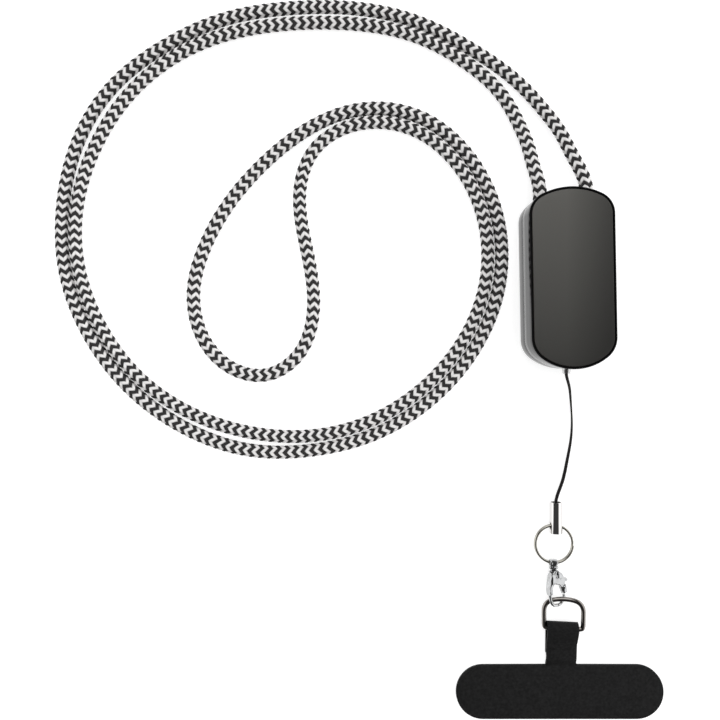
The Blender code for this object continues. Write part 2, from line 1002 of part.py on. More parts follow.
def build_patch():
    """A T of cloth: the rounded patch, and its neck folded round the D-ring's bar and back under."""
    _, bar_y = d_bar_middle
    top = bar_y - neck_length
    radius = patch_height / 2
    reach = patch_width / 2 - radius
    centre_y = top - radius
    left = neck_middle_x - neck_width / 2
    right = neck_middle_x + neck_width / 2
    outline = [(left, top)]
    outline += arc_points((patch_middle_x - reach, centre_y), radius, 90.0, 270.0, 16)
    outline += arc_points((patch_middle_x + reach, centre_y), radius, -90.0, 90.0, 16)
    outline += [(right, top)]
    form = bmesh.new()
    corners = [form.verts.new((x, y, patch_thickness / 2)) for x, y in outline]
    form.faces.new(corners)
    edge = form.edges.get((corners[-1], corners[0]))
    for y, z, lift in neck_rows()[1:]:
        grown = bmesh.ops.extrude_edge_only(form, edges=[edge])["geom"]
        edge = next(part for part in grown if isinstance(part, bmesh.types.BMEdge))
        for vertex in edge.verts:
            vertex.co.y = y
            vertex.co.z = z + lift * (vertex.co.x - neck_middle_x)
    bmesh.ops.recalc_face_normals(form, faces=form.faces)
    mesh = bpy.data.meshes.new("phone_patch")
    form.to_mesh(mesh)
    form.free()
    patch = place("phone_patch", mesh, black_cloth)
    wall = patch.modifiers.new("cloth", "SOLIDIFY")
    wall.thickness = patch_thickness
    wall.offset = 0.0
    wall.use_even_offset = True


housing_frame = build_housing()
build_bushing(housing_frame)
build_rope()
build_string()
build_crimp()
build_split_ring()
swivel_frame = empty("swivel_frame", swivel_middle(), (-swivel_pitch, 0, swivel_heading))
build_swivel(swivel_frame)
clasp_frame = empty("clasp_frame", (0, 0, 0), (0, clasp_roll, 0), swivel_frame)
build_clasp(clasp_frame)
build_d_ring()
build_patch()
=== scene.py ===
"""Looks of the phone crossbody strap: a doubled braided rope, the glossy housing with its satin plate,
a thin string, chrome links and a black cloth patch, laid flat and seen from straight above."""

import math

import bmesh
import bpy
import numpy as np
from mathutils import Matrix, Vector


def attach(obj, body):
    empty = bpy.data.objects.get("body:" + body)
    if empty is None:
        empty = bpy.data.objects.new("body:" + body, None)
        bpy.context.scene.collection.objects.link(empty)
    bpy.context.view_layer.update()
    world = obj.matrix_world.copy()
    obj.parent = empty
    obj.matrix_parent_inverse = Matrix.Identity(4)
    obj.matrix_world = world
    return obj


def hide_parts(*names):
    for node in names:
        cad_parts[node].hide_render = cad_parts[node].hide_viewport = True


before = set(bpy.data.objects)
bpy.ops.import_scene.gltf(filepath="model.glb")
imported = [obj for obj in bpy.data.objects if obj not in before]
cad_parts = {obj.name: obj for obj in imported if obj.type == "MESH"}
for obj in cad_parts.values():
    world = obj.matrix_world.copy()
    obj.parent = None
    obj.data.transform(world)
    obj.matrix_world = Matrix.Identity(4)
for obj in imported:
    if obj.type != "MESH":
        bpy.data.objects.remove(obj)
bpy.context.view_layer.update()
MM = 0.001


# Camera: straight above the middle of the laid-out strap, 232 mm up, and 216 mm of floor across
CAMERA_HEIGHT = 232.0 * MM
FLOOR_ACROSS = 216.0 * MM
SENSOR_WIDTH = 36.0
camera = bpy.data.objects.new("camera", bpy.data.cameras.new("camera"))
camera.data.sensor_width = SENSOR_WIDTH
camera.data.lens = SENSOR_WIDTH * CAMERA_HEIGHT / FLOOR_ACROSS
camera.data.clip_start = 5.0 * MM
camera.location = (-59.7 * MM, -23.0 * MM, CAMERA_HEIGHT)
bpy.context.scene.collection.objects.link(camera)
bpy.context.scene.camera = camera


# Braided rope: one round braid of about 4 mm, doubled from the housing round to its end loop.
# Eight columns of slanting floats run round it, each float black or white, so that they make zigzags.
ROPE_DIAMETER = 3.9 * MM
HOUSING_TURN = math.radians(1.05)
HOUSING_END = 25.6 * MM
SHELL_WALL = 1.8 * MM
SEAM_HEIGHT = 6.4 * MM
ROPE_HOLE_X = 6.8 * MM
ROPE_TUCKED_IN = 4.5 * MM

# Middle line of the two strands, in millimetres: x, y, distance between their centres, height
STRAP_RUN = (
    (-3.1, 35.4, 11.8, 5.1),
    (-5.4, 42.3, 10.3, 3.7),
    (-8.8, 48.9, 8.5, 2.5),
    (-12.8, 54.9, 6.8, 2.0),
    (-17.7, 60.2, 5.4, 1.95),
    (-26.2, 66.7, 4.3, 1.95),
    (-43.1, 75.5, 4.1, 1.95),
    (-61.7, 79.3, 4.6, 1.95),
    (-80.7, 79.3, 4.6, 1.95),
    (-99.4, 76.2, 4.5, 1.95),
    (-116.8, 68.5, 4.2, 1.95),
    (-131.4, 56.5, 5.2, 1.95),
    (-141.4, 40.3, 5.2, 1.95),
    (-146.1, 21.9, 4.1, 1.95),
    (-145.2, 2.9, 4.1, 1.95),
    (-138.3, -14.8, 4.1, 1.95),
    (-126.8, -29.8, 4.1, 1.95),
    (-111.3, -40.8, 4.7, 1.95),
    (-93.4, -47.0, 5.2, 1.95),
    (-74.4, -47.7, 4.3, 1.95),
    (-56.0, -43.1, 4.1, 1.95),
    (-39.9, -33.1, 4.1, 1.95),
    (-27.5, -18.7, 4.1, 1.95),
    (-20.5, -1.2, 4.1, 1.95),
    (-20.6, 17.8, 4.1, 1.95),
    (-28.2, 35.2, 4.1, 1.95),
    (-42.7, 47.3, 4.2, 1.95),
    (-61.2, 49.1, 4.2, 1.95),
)

# Centre of the single rope round the end loop, in millimetres: x, y
END_LOOP = (
    (-80.0, 42.5),
    (-90.1, 33.7),
    (-98.7, 23.5),
    (-105.3, 11.9),
    (-109.2, -2.5),
    (-106.6, -16.0),
    (-98.2, -25.2),
    (-87.6, -27.4),
    (-78.2, -21.6),
    (-73.6, -8.6),
    (-76.0, 12.0),
    (-77.6, 27.0),
    (-73.2, 39.6),
)


def smooth_curve(points, at, closed=False):
    """Points of the cubic spline through a list of points, read at positions counted in points."""
    knots = np.asarray(points, float)
    if closed:
        knots = np.vstack([knots[-4:], knots, knots[:5]])
        at = np.asarray(at, float) + 4
    steps = np.linalg.norm(np.diff(knots, axis=0), axis=1)
    along = np.concatenate([[0.0], np.cumsum(steps)])
    count = len(knots)
    system = np.zeros((count, count))
    right = np.zeros_like(knots)
    system[0, 0] = 1.0
    system[-1, -1] = 1.0
    for i in range(1, count - 1):
        before, after = steps[i - 1], steps[i]
        system[i, i - 1 : i + 2] = before, 2 * (before + after), after
        right[i] = 6 * ((knots[i + 1] - knots[i]) / after - (knots[i] - knots[i - 1]) / before)
    bend = np.linalg.solve(system, right)
    s = np.interp(at, np.arange(count), along)
    i = np.clip(np.searchsorted(along, s, side="right") - 1, 0, count - 2)
    h = steps[i][:, None]
    a = ((along[i + 1] - s) / steps[i])[:, None]
    b = 1 - a
    bent = ((a**3 - a) * bend[i] + (b**3 - b) * bend[i + 1]) * h**2 / 6
    return a * knots[i] + b * knots[i + 1] + bent


def even_steps(points, count):
    """A line's points moved along it to equal steps, and how long it is."""
    along = np.concatenate([[0.0], np.cumsum(np.linalg.norm(np.diff(points, axis=0), axis=1))])
    at = np.linspace(0.0, along[-1], count)
    return np.stack([np.interp(at, along, points[:, k]) for k in range(3)], axis=1), along[-1]


def housing_point(x, y, z):
    """A point in the housing's own frame, in the object's frame."""
    turned = complex(x, y) * complex(math.cos(HOUSING_TURN), math.sin(HOUSING_TURN))
    return (turned.real, turned.imag, z)


def rope_route():
    """The rope's control points: out of one hole, round the loop and back into the other."""
    rows = np.array(STRAP_RUN) * MM
    middle = rows[:, :2]
    count = len(rows)
    fine = smooth_curve(middle, np.repeat(np.arange(count), 2) + np.tile([-0.01, 0.01], count))
    heading = fine[1::2] - fine[0::2]
    heading[0] = middle[1] - middle[0]
    heading[-1] = heading[-2] + (heading[-2] - heading[-3])
    heading /= np.linalg.norm(heading, axis=1)[:, None]
    outward = np.stack([heading[:, 1], -heading[:, 0]], axis=1)
    strands = []
    for side in (1, -1):
        flat = middle + outward * side * rows[:, 2:3] / 2
        start = [
            housing_point(side * ROPE_HOLE_X, HOUSING_END - SHELL_WALL - ROPE_TUCKED_IN, SEAM_HEIGHT),
            housing_point(side * ROPE_HOLE_X, HOUSING_END - SHELL_WALL, SEAM_HEIGHT),
            housing_point(
                side * ROPE_HOLE_X, HOUSING_END + ROPE_DIAMETER / 2, SEAM_HEIGHT - 0.3 * MM
            ),
        ]
        strands.append(start + [(x, y, z) for (x, y), z in zip(flat, rows[:, 3])])
    loop = [(x * MM, y * MM, ROPE_DIAMETER / 2) for x, y in END_LOOP]
    return strands[0] + loop + strands[1][::-1]


def frame_along(line):
    """Unit vectors to the side and up, across a line that never stands upright."""
    tangent = np.gradient(line, axis=0)
    tangent /= np.linalg.norm(tangent, axis=1)[:, None]
    side = np.cross(tangent, (0.0, 0.0, 1.0))
    side /= np.linalg.norm(side, axis=1)[:, None]
    return side, np.cross(side, tangent)


def maths(tree, operation, first, second):
    """A node that works out one value from two, each another node's value or a plain number."""
    made = tree.nodes.new("ShaderNodeMath")
    made.operation = operation
    for socket, value in zip(made.inputs, (first, second)):
        if isinstance(value, float):
            socket.default_value = value
        else:
            tree.links.new(value, socket)
    return made.outputs["Value"]


def ramp_between(tree, value, dark, bright):
    """A node that mixes two colours by a value; each is given as its place, red, green and blue."""
    ramp = tree.nodes.new("ShaderNodeValToRGB")
    for stop, (at, *colour) in zip(ramp.color_ramp.elements, (dark, bright)):
        stop.position = at
        stop.color = (*colour, 1.0)
    tree.links.new(value, ramp.inputs["Fac"])
    return ramp.outputs["Color"]


def yarn(name, colour, roughness):
    """Matt spun yarn, with its fibres running along each float and painted shade darkening each float's
    sides and ends.
    """
    made = bpy.data.materials.new(name)
    made.use_nodes = True
    tree = made.node_tree
    nodes, links = tree.nodes, tree.links
    shader = nodes["Principled BSDF"]
    shader.inputs["Roughness"].default_value = roughness
    shader.inputs["Specular IOR Level"].default_value = 0.12
    where = nodes.new("ShaderNodeUVMap")
    where.uv_map = "weave"
    stretch = nodes.new("ShaderNodeMapping")
    stretch.inputs["Scale"].default_value = (1.2, 9.0, 1.0)
    fibres = nodes.new("ShaderNodeTexNoise")
    fibres.inputs["Scale"].default_value = 1.6
    fibres.inputs["Detail"].default_value = 3.0
    links.new(where.outputs["UV"], stretch.inputs["Vector"])
    links.new(stretch.outputs["Vector"], fibres.inputs["Vector"])
    split = nodes.new("ShaderNodeSeparateXYZ")
    links.new(where.outputs["UV"], split.inputs["Vector"])
    # Painted shade: each float is darker towards its sides and ends, standing in for the shade in the
    # furrows where it dives under its neighbours.
    shades = []
    for side, depth in (("X", 0.82), ("Y", 0.55)):
        rise = nodes.new("ShaderNodeMapRange")
        rise.interpolation_type = "SMOOTHSTEP"
        rise.inputs["From Max"].default_value = 0.3
        rise.inputs["To Min"].default_value = depth
        links.new(maths(tree, "PINGPONG", split.outputs[side], 0.5), rise.inputs["Value"])
        shades.append(rise.outputs["Result"])
    painted_shade = maths(tree, "MULTIPLY", *shades)
    painted_shade = maths(tree, "ADD", maths(tree, "MULTIPLY", fibres.outputs["Fac"], 0.25), painted_shade)
    tint = ramp_between(tree, painted_shade, (0.12, 0.0, 0.0, 0.0), (1.12, *colour))
    links.new(tint, shader.inputs["Base Color"])
    relief = nodes.new("ShaderNodeBump")
    relief.inputs["Strength"].default_value = 0.5
    relief.inputs["Distance"].default_value = 0.05 * MM
    links.new(fibres.outputs["Fac"], relief.inputs["Height"])
    links.new(relief.outputs["Normal"], shader.inputs["Normal"])
    return made


LINE_STEPS = 6000
COLUMNS = 8
COLUMN_STEPS = 4
FLOAT_ROWS = 3
FLOAT_LENGTH = 1.315 * MM
ZIGZAG = 1.2 * MM
FLOAT_CROWN = 0.12 * MM
COLUMN_FURROW = 0.3 * MM
FLOAT_FURROW = 0.3 * MM

# How far the braid has turned round its own line, along the rope: millimetres, degrees
BRAID_TURN = (
    (0.0, 18.0),
    (210.0, 28.0),
    (300.0, 10.0),
    (400.0, -27.0),
    (500.0, -40.0),
    (740.0, -29.0),
    (850.0, -43.0),
    (1000.0, -27.0),
    (1155.0, -12.0),
)


def braid_points(fine, length, floats):
    """Rows of points on the braid's surface along its line, one row after another."""
    side, up = frame_along(fine)
    sides = COLUMNS * COLUMN_STEPS
    rows = floats * FLOAT_ROWS + 1
    turn = np.arange(sides) / sides * 2 * math.pi
    in_column = np.arange(sides) % COLUMN_STEPS / COLUMN_STEPS
    falling = np.arange(sides) // COLUMN_STEPS % 2
    slant = np.where(falling, 1 - in_column, in_column) * ZIGZAG
    row = np.arange(rows)[:, None]
    s = row * FLOAT_LENGTH / FLOAT_ROWS + slant[None, :] + (length - floats * FLOAT_LENGTH - ZIGZAG) / 2
    at = s / length * (len(fine) - 1)
    twist_at, twist = np.array(BRAID_TURN).T
    angle = turn[None, :] + np.radians(np.interp(s / MM, twist_at, twist))
    across = 1 - np.sin(math.pi * in_column)[None, :] ** 0.7
    within = 1 - np.sin(math.pi * (row % FLOAT_ROWS) / FLOAT_ROWS) ** 0.7
    furrow = COLUMN_FURROW * across + FLOAT_FURROW * within * (1 - 0.4 * across)
    radius = ROPE_DIAMETER / 2 + FLOAT_CROWN - furrow

    def along(values):
        index = np.arange(len(fine))
        return np.stack([np.interp(at, index, values[:, k]) for k in range(3)], axis=2)

    outward = np.cos(angle)[..., None] * along(up) + np.sin(angle)[..., None] * along(side)
    return (along(fine) + radius[..., None] * outward).reshape(-1, 3)


def build_rope():
    route = rope_route()
    dense = smooth_curve(route, np.linspace(0, len(route) - 1, LINE_STEPS))
    fine, length = even_steps(dense, LINE_STEPS)
    sides = COLUMNS * COLUMN_STEPS
    floats = int((length - 2 * ZIGZAG) / FLOAT_LENGTH)
    rows = floats * FLOAT_ROWS + 1
    mesh = bpy.data.meshes.new("braided_rope")
    first = np.arange(rows - 1)[:, None] * sides
    here = np.arange(sides)[None, :]
    after = (here + 1) % sides
    quads = np.stack([first + here, first + after, first + sides + after, first + sides + here], axis=2)
    quads = quads.reshape(-1, 4)
    caps = [tuple(range(sides))[::-1], tuple((rows - 1) * sides + i for i in range(sides))]
    points = braid_points(fine, length, floats)
    mesh.from_pydata(points.tolist(), [], quads.tolist() + caps)
    weave = mesh.uv_layers.new(name="weave")
    u = np.stack([here, here + 1, here + 1, here], axis=2) / COLUMN_STEPS
    row = np.arange(rows - 1)[:, None]
    v = np.stack([row, row, row + 1, row + 1], axis=2) / FLOAT_ROWS
    uv = np.stack(np.broadcast_arrays(u, v), axis=3)
    flat = np.zeros((len(mesh.loops), 2))
    flat[: uv.size // 2] = uv.reshape(-1, 2)
    weave.data.foreach_set("uv", flat.reshape(-1))
    black = (np.arange(rows - 1) // FLOAT_ROWS % 2)[:, None] * np.ones((1, sides), int)
    slots = np.concatenate([black.reshape(-1), [0, 0]]).astype(np.int32)
    mesh.polygons.foreach_set("material_index", slots)
    mesh.shade_smooth()
    mesh.materials.append(yarn("white_yarn", (0.8, 0.785, 0.78), 0.85))
    mesh.materials.append(yarn("black_yarn", (0.034, 0.0325, 0.033), 0.75))
    rope = bpy.data.objects.new("braided_rope", mesh)
    bpy.context.scene.collection.objects.link(rope)
    form = bmesh.new()
    form.from_mesh(mesh)
    bmesh.ops.recalc_face_normals(form, faces=form.faces)
    form.to_mesh(mesh)
    form.free()
    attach(rope, "housing")
    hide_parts("strap_rope")


build_rope()


# String: a thin smooth black cord, laid double, that hangs from the housing's lower end.
# Its two strands lie side by side, turn half round each other and end clamped in the crimp tube.
STRING_STRAND = 0.54 * MM
STRAND_SIDES = 12
STRING_DIAMETER = 1.0 * MM
BUSHING_NOSE = 1.4 * MM
CRIMP_MOUTH = (-1.4 * MM, -65.3 * MM)
CRIMP_DIAMETER = 3.8 * MM
STRING_TUCKED_IN = 4.0 * MM
STRING_RUN = (
    (1.6, -30.3, 5.0),
    (2.8, -34.4, 2.4),
    (3.6, -39.6, 0.75),
    (3.5, -45.9, 0.52),
    (2.2, -53.5, 0.52),
    (0.6, -59.8, 0.9),
)


def plain(name, colour, roughness, metallic=0.0, specular=0.5):
    """The base of a material, with one colour all over; what varies in it is added afterwards."""
    made = bpy.data.materials.new(name)
    made.use_nodes = True
    shader = made.node_tree.nodes["Principled BSDF"]
    shader.inputs["Base Color"].default_value = (*colour, 1.0)
    shader.inputs["Roughness"].default_value = roughness
    shader.inputs["Metallic"].default_value = metallic
    shader.inputs["Specular IOR Level"].default_value = specular
    return made


def relief_on(made, where, scale, detail, strength, height):
    """Adds a raised and sunk surface to a material: noise over given coordinates."""
    nodes, links = made.node_tree.nodes, made.node_tree.links
    waves = nodes.new("ShaderNodeTexNoise")
    waves.inputs["Scale"].default_value = scale
    waves.inputs["Detail"].default_value = detail
    relief = nodes.new("ShaderNodeBump")
    relief.inputs["Strength"].default_value = strength
    relief.inputs["Distance"].default_value = height
    links.new(where, waves.inputs["Vector"])
    links.new(waves.outputs["Fac"], relief.inputs["Height"])
    links.new(relief.outputs["Normal"], nodes["Principled BSDF"].inputs["Normal"])
    return made


def uneven(made, scale, height):
    """Makes a moulded or plated surface a little uneven, by waves of a given scale and height."""
    where = made.node_tree.nodes.new("ShaderNodeTexCoord")
    return relief_on(made, where.outputs["Object"], scale, 1.0, 1.0, height)


def chrome_look(name, colour, roughness, unevenness):
    """Bright plated metal, a little uneven as small plated pieces are."""
    return uneven(plain(name, colour, roughness, 1.0), 450.0, unevenness)


def string_look():
    """Smooth black thread with fine fibres, drawn along each strand by its own lay."""
    made = plain("black_string", (0.009, 0.008, 0.008), 0.5, 0.0, 0.2)
    where = made.node_tree.nodes.new("ShaderNodeAttribute")
    where.attribute_name = "lay"
    return relief_on(made, where.outputs["Vector"], 2.5, 3.0, 0.6, 0.02 * MM)


def finished(piece, mesh, look, sharp=35.0):
    """A named piece from a mesh, with its normals outward and its sharp edges kept."""
    form = bmesh.new()
    form.from_mesh(mesh)
    bmesh.ops.remove_doubles(form, verts=form.verts, dist=1e-7)
    bmesh.ops.recalc_face_normals(form, faces=form.faces)
    form.to_mesh(mesh)
    form.free()
    mesh.shade_smooth()
    mesh.set_sharp_from_angle(angle=math.radians(sharp))
    mesh.materials.clear()
    if look:
        mesh.materials.append(look)
    made = bpy.data.objects.new(piece, mesh)
    bpy.context.scene.collection.objects.link(made)
    return made


def loft(rings, closed=False):
    """A mesh drawn out from ring to ring, joined up at its ends or capped with flat faces."""
    form = bmesh.new()
    first = [form.verts.new(point) for point in rings[0]]
    start = [form.edges.new(pair) for pair in zip(first, first[1:] + first[:1])]
    edges, corners = start, first
    for ring in rings[1:]:
        grown = bmesh.ops.extrude_edge_only(form, edges=edges)["geom"]
        edges = [part for part in grown if isinstance(part, bmesh.types.BMEdge)]
        corners = [part for part in grown if isinstance(part, bmesh.types.BMVert)]
        for corner, point in zip(corners, ring):
            corner.co = point
    if closed:
        bmesh.ops.bridge_loops(form, edges=start + edges)
    else:
        form.faces.new(first)
        form.faces.new(corners)
    mesh = bpy.data.meshes.new("loft")
    form.to_mesh(mesh)
    form.free()
    return mesh


def tube(line, diameter, sides, closed=False, up=None):
    """A round tube along a line, with flat ends."""
    line = np.asarray(line, float)
    if closed:
        tangent = np.roll(line, -1, axis=0) - np.roll(line, 1, axis=0)
    else:
        tangent = np.gradient(line, axis=0)
    tangent /= np.linalg.norm(tangent, axis=1)[:, None]
    reference = np.array(up if up is not None else (0.0, 0.0, 1.0))
    side = np.cross(tangent, reference)
    side /= np.linalg.norm(side, axis=1)[:, None]
    over = np.cross(side, tangent)
    turn = np.arange(sides) / sides * 2 * math.pi
    rings = [
        p + diameter / 2 * (np.cos(turn)[:, None] * s + np.sin(turn)[:, None] * o)
        for p, s, o in zip(line, side, over)
    ]
    return loft(rings, closed)


def joined(meshes):
    """Several meshes as one, without fusing them."""
    form = bmesh.new()
    for mesh in meshes:
        form.from_mesh(mesh)
    out = bpy.data.meshes.new("joined")
    form.to_mesh(out)
    form.free()
    return out


def build_string():
    x, y = CRIMP_MOUTH
    height = CRIMP_DIAMETER / 2
    route = [
        housing_point(0, -HOUSING_END + SHELL_WALL + STRING_TUCKED_IN, SEAM_HEIGHT),
        housing_point(0, -HOUSING_END + SHELL_WALL, SEAM_HEIGHT),
        housing_point(0, -HOUSING_END - BUSHING_NOSE, SEAM_HEIGHT - 0.15 * MM),
    ]
    route += [tuple(value * MM for value in row) for row in STRING_RUN]
    route += [(x, y + 0.3 * MM, height), (x, y - STRING_TUCKED_IN, height)]
    line, length = even_steps(smooth_curve(route, np.linspace(0, len(route) - 1, 400)), 160)
    side, up = frame_along(line)
    spread = (STRING_DIAMETER - STRING_STRAND) / 2
    turn = np.linspace(math.radians(-10), math.radians(200), len(line))[:, None]
    offset = spread * (np.cos(turn) * side + np.sin(turn) * up)
    strands = [tube(line + sign * offset, STRING_STRAND, STRAND_SIDES) for sign in (1, -1)]
    round_strand = np.tile(np.arange(STRAND_SIDES) / STRAND_SIDES * 2 * math.pi, len(line))
    down_strand = np.repeat(np.linspace(0.0, length / STRING_STRAND, len(line)), STRAND_SIDES)
    lay = np.stack([np.cos(round_strand), np.sin(round_strand), down_strand], axis=1)
    for strand in strands:
        marks = strand.attributes.new("lay", "FLOAT_VECTOR", "POINT")
        marks.data.foreach_set("vector", lay.reshape(-1))
    string = finished("doubled_string", joined(strands), string_look(), 60)
    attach(string, "housing")
    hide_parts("string")


build_string()


# Housing: two glossy black moulded shells that meet in a fine seam, long rounded sides, bowed ends.
# The two rope holes and the bushing's hole are cut half in each shell, along the seam.
HOUSING_WIDTH = 24.0 * MM
HOUSING_HEIGHT = 16.0 * MM
ROPE_END_BOW = 19.0 * MM
ROPE_END_CORNER = 6.3 * MM
STRING_END_BOW = 15.0 * MM
STRING_END_CORNER = 7.2 * MM
ROPE_HOLE_RADIUS = ROPE_DIAMETER / 2 + 0.3 * MM
BUSHING_HOLE_RADIUS = 1.5 * MM
RUNNING_GAP = 0.2 * MM
SEAM_GAP = 0.1 * MM
SEAM_EDGE = 0.06 * MM
BACK_EDGE = 0.9 * MM
FRONT_EDGE = 0.22 * MM
RIM_WIDTH = 0.45 * MM
RIM_CHAMFER = 0.05 * MM
PLATE_THICKNESS = 0.8 * MM
PLATE_INSET = 0.72 * MM
HOUSING_PLACE = Matrix.Rotation(HOUSING_TURN, 4, "Z")


def arc(centre, radius, start, end, steps):
    """Points on an arc, angles in degrees, both ends included."""
    turns = np.radians(np.linspace(start, end, steps + 1))
    return [(centre[0] + radius * math.cos(t), centre[1] + radius * math.sin(t)) for t in turns]


def bowed_end(inset, bow_radius, corner_radius):
    """One end of the housing's plan, drawn in by inset: a corner, the bow and the other corner."""
    corner = corner_radius - inset
    bow = bow_radius - inset
    across = HOUSING_WIDTH / 2 - inset - corner
    reach = bow - corner
    corner_y = HOUSING_END - inset - bow + math.sqrt(reach**2 - across**2)
    meet = math.degrees(math.acos(across / reach))
    quarter = arc((across, corner_y), corner, 0.0, meet, 18)
    quarter += arc((0.0, HOUSING_END - inset - bow), bow, meet, 90.0, 14)[1:]
    return quarter + [(-x, y) for x, y in reversed(quarter[:-1])]


def housing_ring(inset, z):
    """The housing's plan, drawn in by inset, at one height; its rope end is a little squarer."""
    rope_end = bowed_end(inset, ROPE_END_BOW, ROPE_END_CORNER)
    string_end = bowed_end(inset, STRING_END_BOW, STRING_END_CORNER)
    return [(x, y, z) for x, y in rope_end + [(-x, -y) for x, y in string_end]]


def rounded_corner(inset, z, radius, start, end, steps=5):
    """(inset, z) pairs on a rounded edge of a wall; angles in degrees from outward to up."""
    turns = np.radians(np.linspace(start, end, steps + 1))
    return [(inset - radius * math.cos(t), z + radius * math.sin(t)) for t in turns]


def combine(piece, operation, tool):
    """Adds a step that fuses a tool's shape with the piece or takes it out."""
    step = piece.modifiers.new("combine", "BOOLEAN")
    step.operation = operation
    step.solver = "EXACT"
    step.object = tool


def cut(piece, tools):
    """Takes each tool's shape out of the piece, for good."""
    for tool in tools:
        combine(piece, "DIFFERENCE", tool)
    settle(piece)
    for tool in tools:
        bpy.data.objects.remove(tool, do_unlink=True)


def settle(piece):
    """Makes the piece's modifiers part of its mesh."""
    bpy.context.view_layer.update()
    graph = bpy.context.evaluated_depsgraph_get()
    mesh = bpy.data.meshes.new_from_object(piece.evaluated_get(graph))
    piece.modifiers.clear()
    piece.data = mesh


def cylinder(radius, depth, place, sides=64):
    """A plain cylinder along its own Z axis, set in place by a matrix."""
    form = bmesh.new()
    bmesh.ops.create_cone(
        form, cap_ends=True, segments=sides, radius1=radius, radius2=radius, depth=depth, matrix=place
    )
    mesh = bpy.data.meshes.new("cylinder")
    form.to_mesh(mesh)
    form.free()
    return finished("cylinder", mesh, None)


def housing_holes():
    """The two rope holes and the bushing's hole, through both shells along their seam."""
    lying = Matrix.Rotation(math.pi / 2, 4, "X")
    tools = []
    for x, y, radius in (
        (-ROPE_HOLE_X, HOUSING_END, ROPE_HOLE_RADIUS),
        (ROPE_HOLE_X, HOUSING_END, ROPE_HOLE_RADIUS),
        (0.0, -HOUSING_END, BUSHING_HOLE_RADIUS),
    ):
        place = HOUSING_PLACE @ Matrix.Translation((x, y, SEAM_HEIGHT)) @ lying
        tools.append(cylinder(radius, HOUSING_END, place))
    return tools


def shell(name, profile, look):
    """One moulded shell, from (inset, height) pairs up its wall and back, with its holes cut."""
    piece = finished(name, loft([housing_ring(inset, z) for inset, z in profile]), look, 50)
    piece.data.transform(HOUSING_PLACE)
    cut(piece, housing_holes())
    return piece


def build_housing():
    gloss = uneven(
        plain("gloss_black_shell", (0.008, 0.008, 0.0085), 0.09, 0.0, 0.32), 150.0, 0.004 * MM
    )
    # Painted shade: the front shell takes a darker copy of the same gloss with a weaker reflection, so
    # that its side wall looks shaded.
    shaded_gloss = uneven(
        plain("shaded_gloss_shell", (0.006, 0.006, 0.0062), 0.11, 0.0, 0.08), 150.0, 0.004 * MM
    )
    profile = [(4.0 * MM, 0.0)] + rounded_corner(BACK_EDGE, BACK_EDGE, BACK_EDGE, -90, 0, 8)
    top = SEAM_HEIGHT - SEAM_GAP / 2
    profile += rounded_corner(SEAM_EDGE, top - SEAM_EDGE, SEAM_EDGE, 0, 90, 3)
    profile += [(SHELL_WALL, top), (SHELL_WALL, SHELL_WALL)]
    back = shell("back_shell", profile, gloss)
    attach(back, "housing")
    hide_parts("housing_back_shell")

    low = SEAM_HEIGHT + SEAM_GAP / 2
    floor = HOUSING_HEIGHT - PLATE_THICKNESS - RUNNING_GAP
    profile = [(SHELL_WALL, floor - SHELL_WALL), (SHELL_WALL, low)]
    edge_below_seam = rounded_corner(SEAM_EDGE, low - SEAM_EDGE, SEAM_EDGE, 90, 0, 3)
    profile += [(inset, 2 * low - z) for inset, z in edge_below_seam]
    profile += [(0.0, 10.0 * MM), (0.0, 13.0 * MM)]
    profile += rounded_corner(FRONT_EDGE, HOUSING_HEIGHT - FRONT_EDGE, FRONT_EDGE, 0, 90, 5)
    profile += [(RIM_WIDTH - 0.03 * MM, HOUSING_HEIGHT), (RIM_WIDTH, HOUSING_HEIGHT - RIM_CHAMFER)]
    profile += [(RIM_WIDTH, floor), (3.0 * MM, floor)]
    front = shell("front_shell", profile, shaded_gloss)
    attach(front, "housing")
    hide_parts("housing_front_shell")


build_housing()


# Front plate: a thin satin grey plate set flush in the front shell, inside its thin black rim.
# Its colour carries painted light and shade, darker towards the string's end and the right.
PLATE_GREY = (0.09, 0.088, 0.081)


def plate_look():
    """Satin dark grey, with painted light and shade: paler towards the rope's end and the left."""
    look = plain("satin_plate", PLATE_GREY, 0.36, 0.0, 0.3)
    nodes, links = look.node_tree.nodes, look.node_tree.links
    where = nodes.new("ShaderNodeTexCoord")
    split = nodes.new("ShaderNodeSeparateXYZ")
    links.new(where.outputs["Object"], split.inputs["Vector"])
    # Painted light and shade: the base colour is multiplied down from PLATE_GREY towards the string's
    # end and the right.
    shades = []
    for side, start, end, first, last in (
        ("Y", -26.0 * MM, 24.0 * MM, 0.34, 1.0),
        ("X", -2.0 * MM, 12.0 * MM, 1.0, 0.38),
    ):
        shade = nodes.new("ShaderNodeMapRange")
        shade.inputs["From Min"].default_value = start
        shade.inputs["From Max"].default_value = end
        shade.inputs["To Min"].default_value = first
        shade.inputs["To Max"].default_value = last
        links.new(split.outputs[side], shade.inputs["Value"])
        shades.append(shade.outputs["Result"])
    shade = maths(look.node_tree, "MULTIPLY", *shades)
    tint = ramp_between(look.node_tree, shade, (0.0, 0.001, 0.001, 0.001), (1.0, *PLATE_GREY))
    links.new(tint, nodes["Principled BSDF"].inputs["Base Color"])
    return look


def build_plate():
    low = HOUSING_HEIGHT - PLATE_THICKNESS
    profile = [(3.0 * MM, low), (PLATE_INSET, low)]
    profile += rounded_corner(
        PLATE_INSET + FRONT_EDGE, HOUSING_HEIGHT - FRONT_EDGE, FRONT_EDGE, 0, 90, 5
    )
    profile += [(3.0 * MM, HOUSING_HEIGHT)]
    plate_mesh = loft([housing_ring(inset, z) for inset, z in profile])
    plate = finished("satin_plate", plate_mesh, plate_look(), 50)
    plate.data.transform(HOUSING_PLACE)
    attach(plate, "housing")
    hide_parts("housing_front_plate")


build_plate()


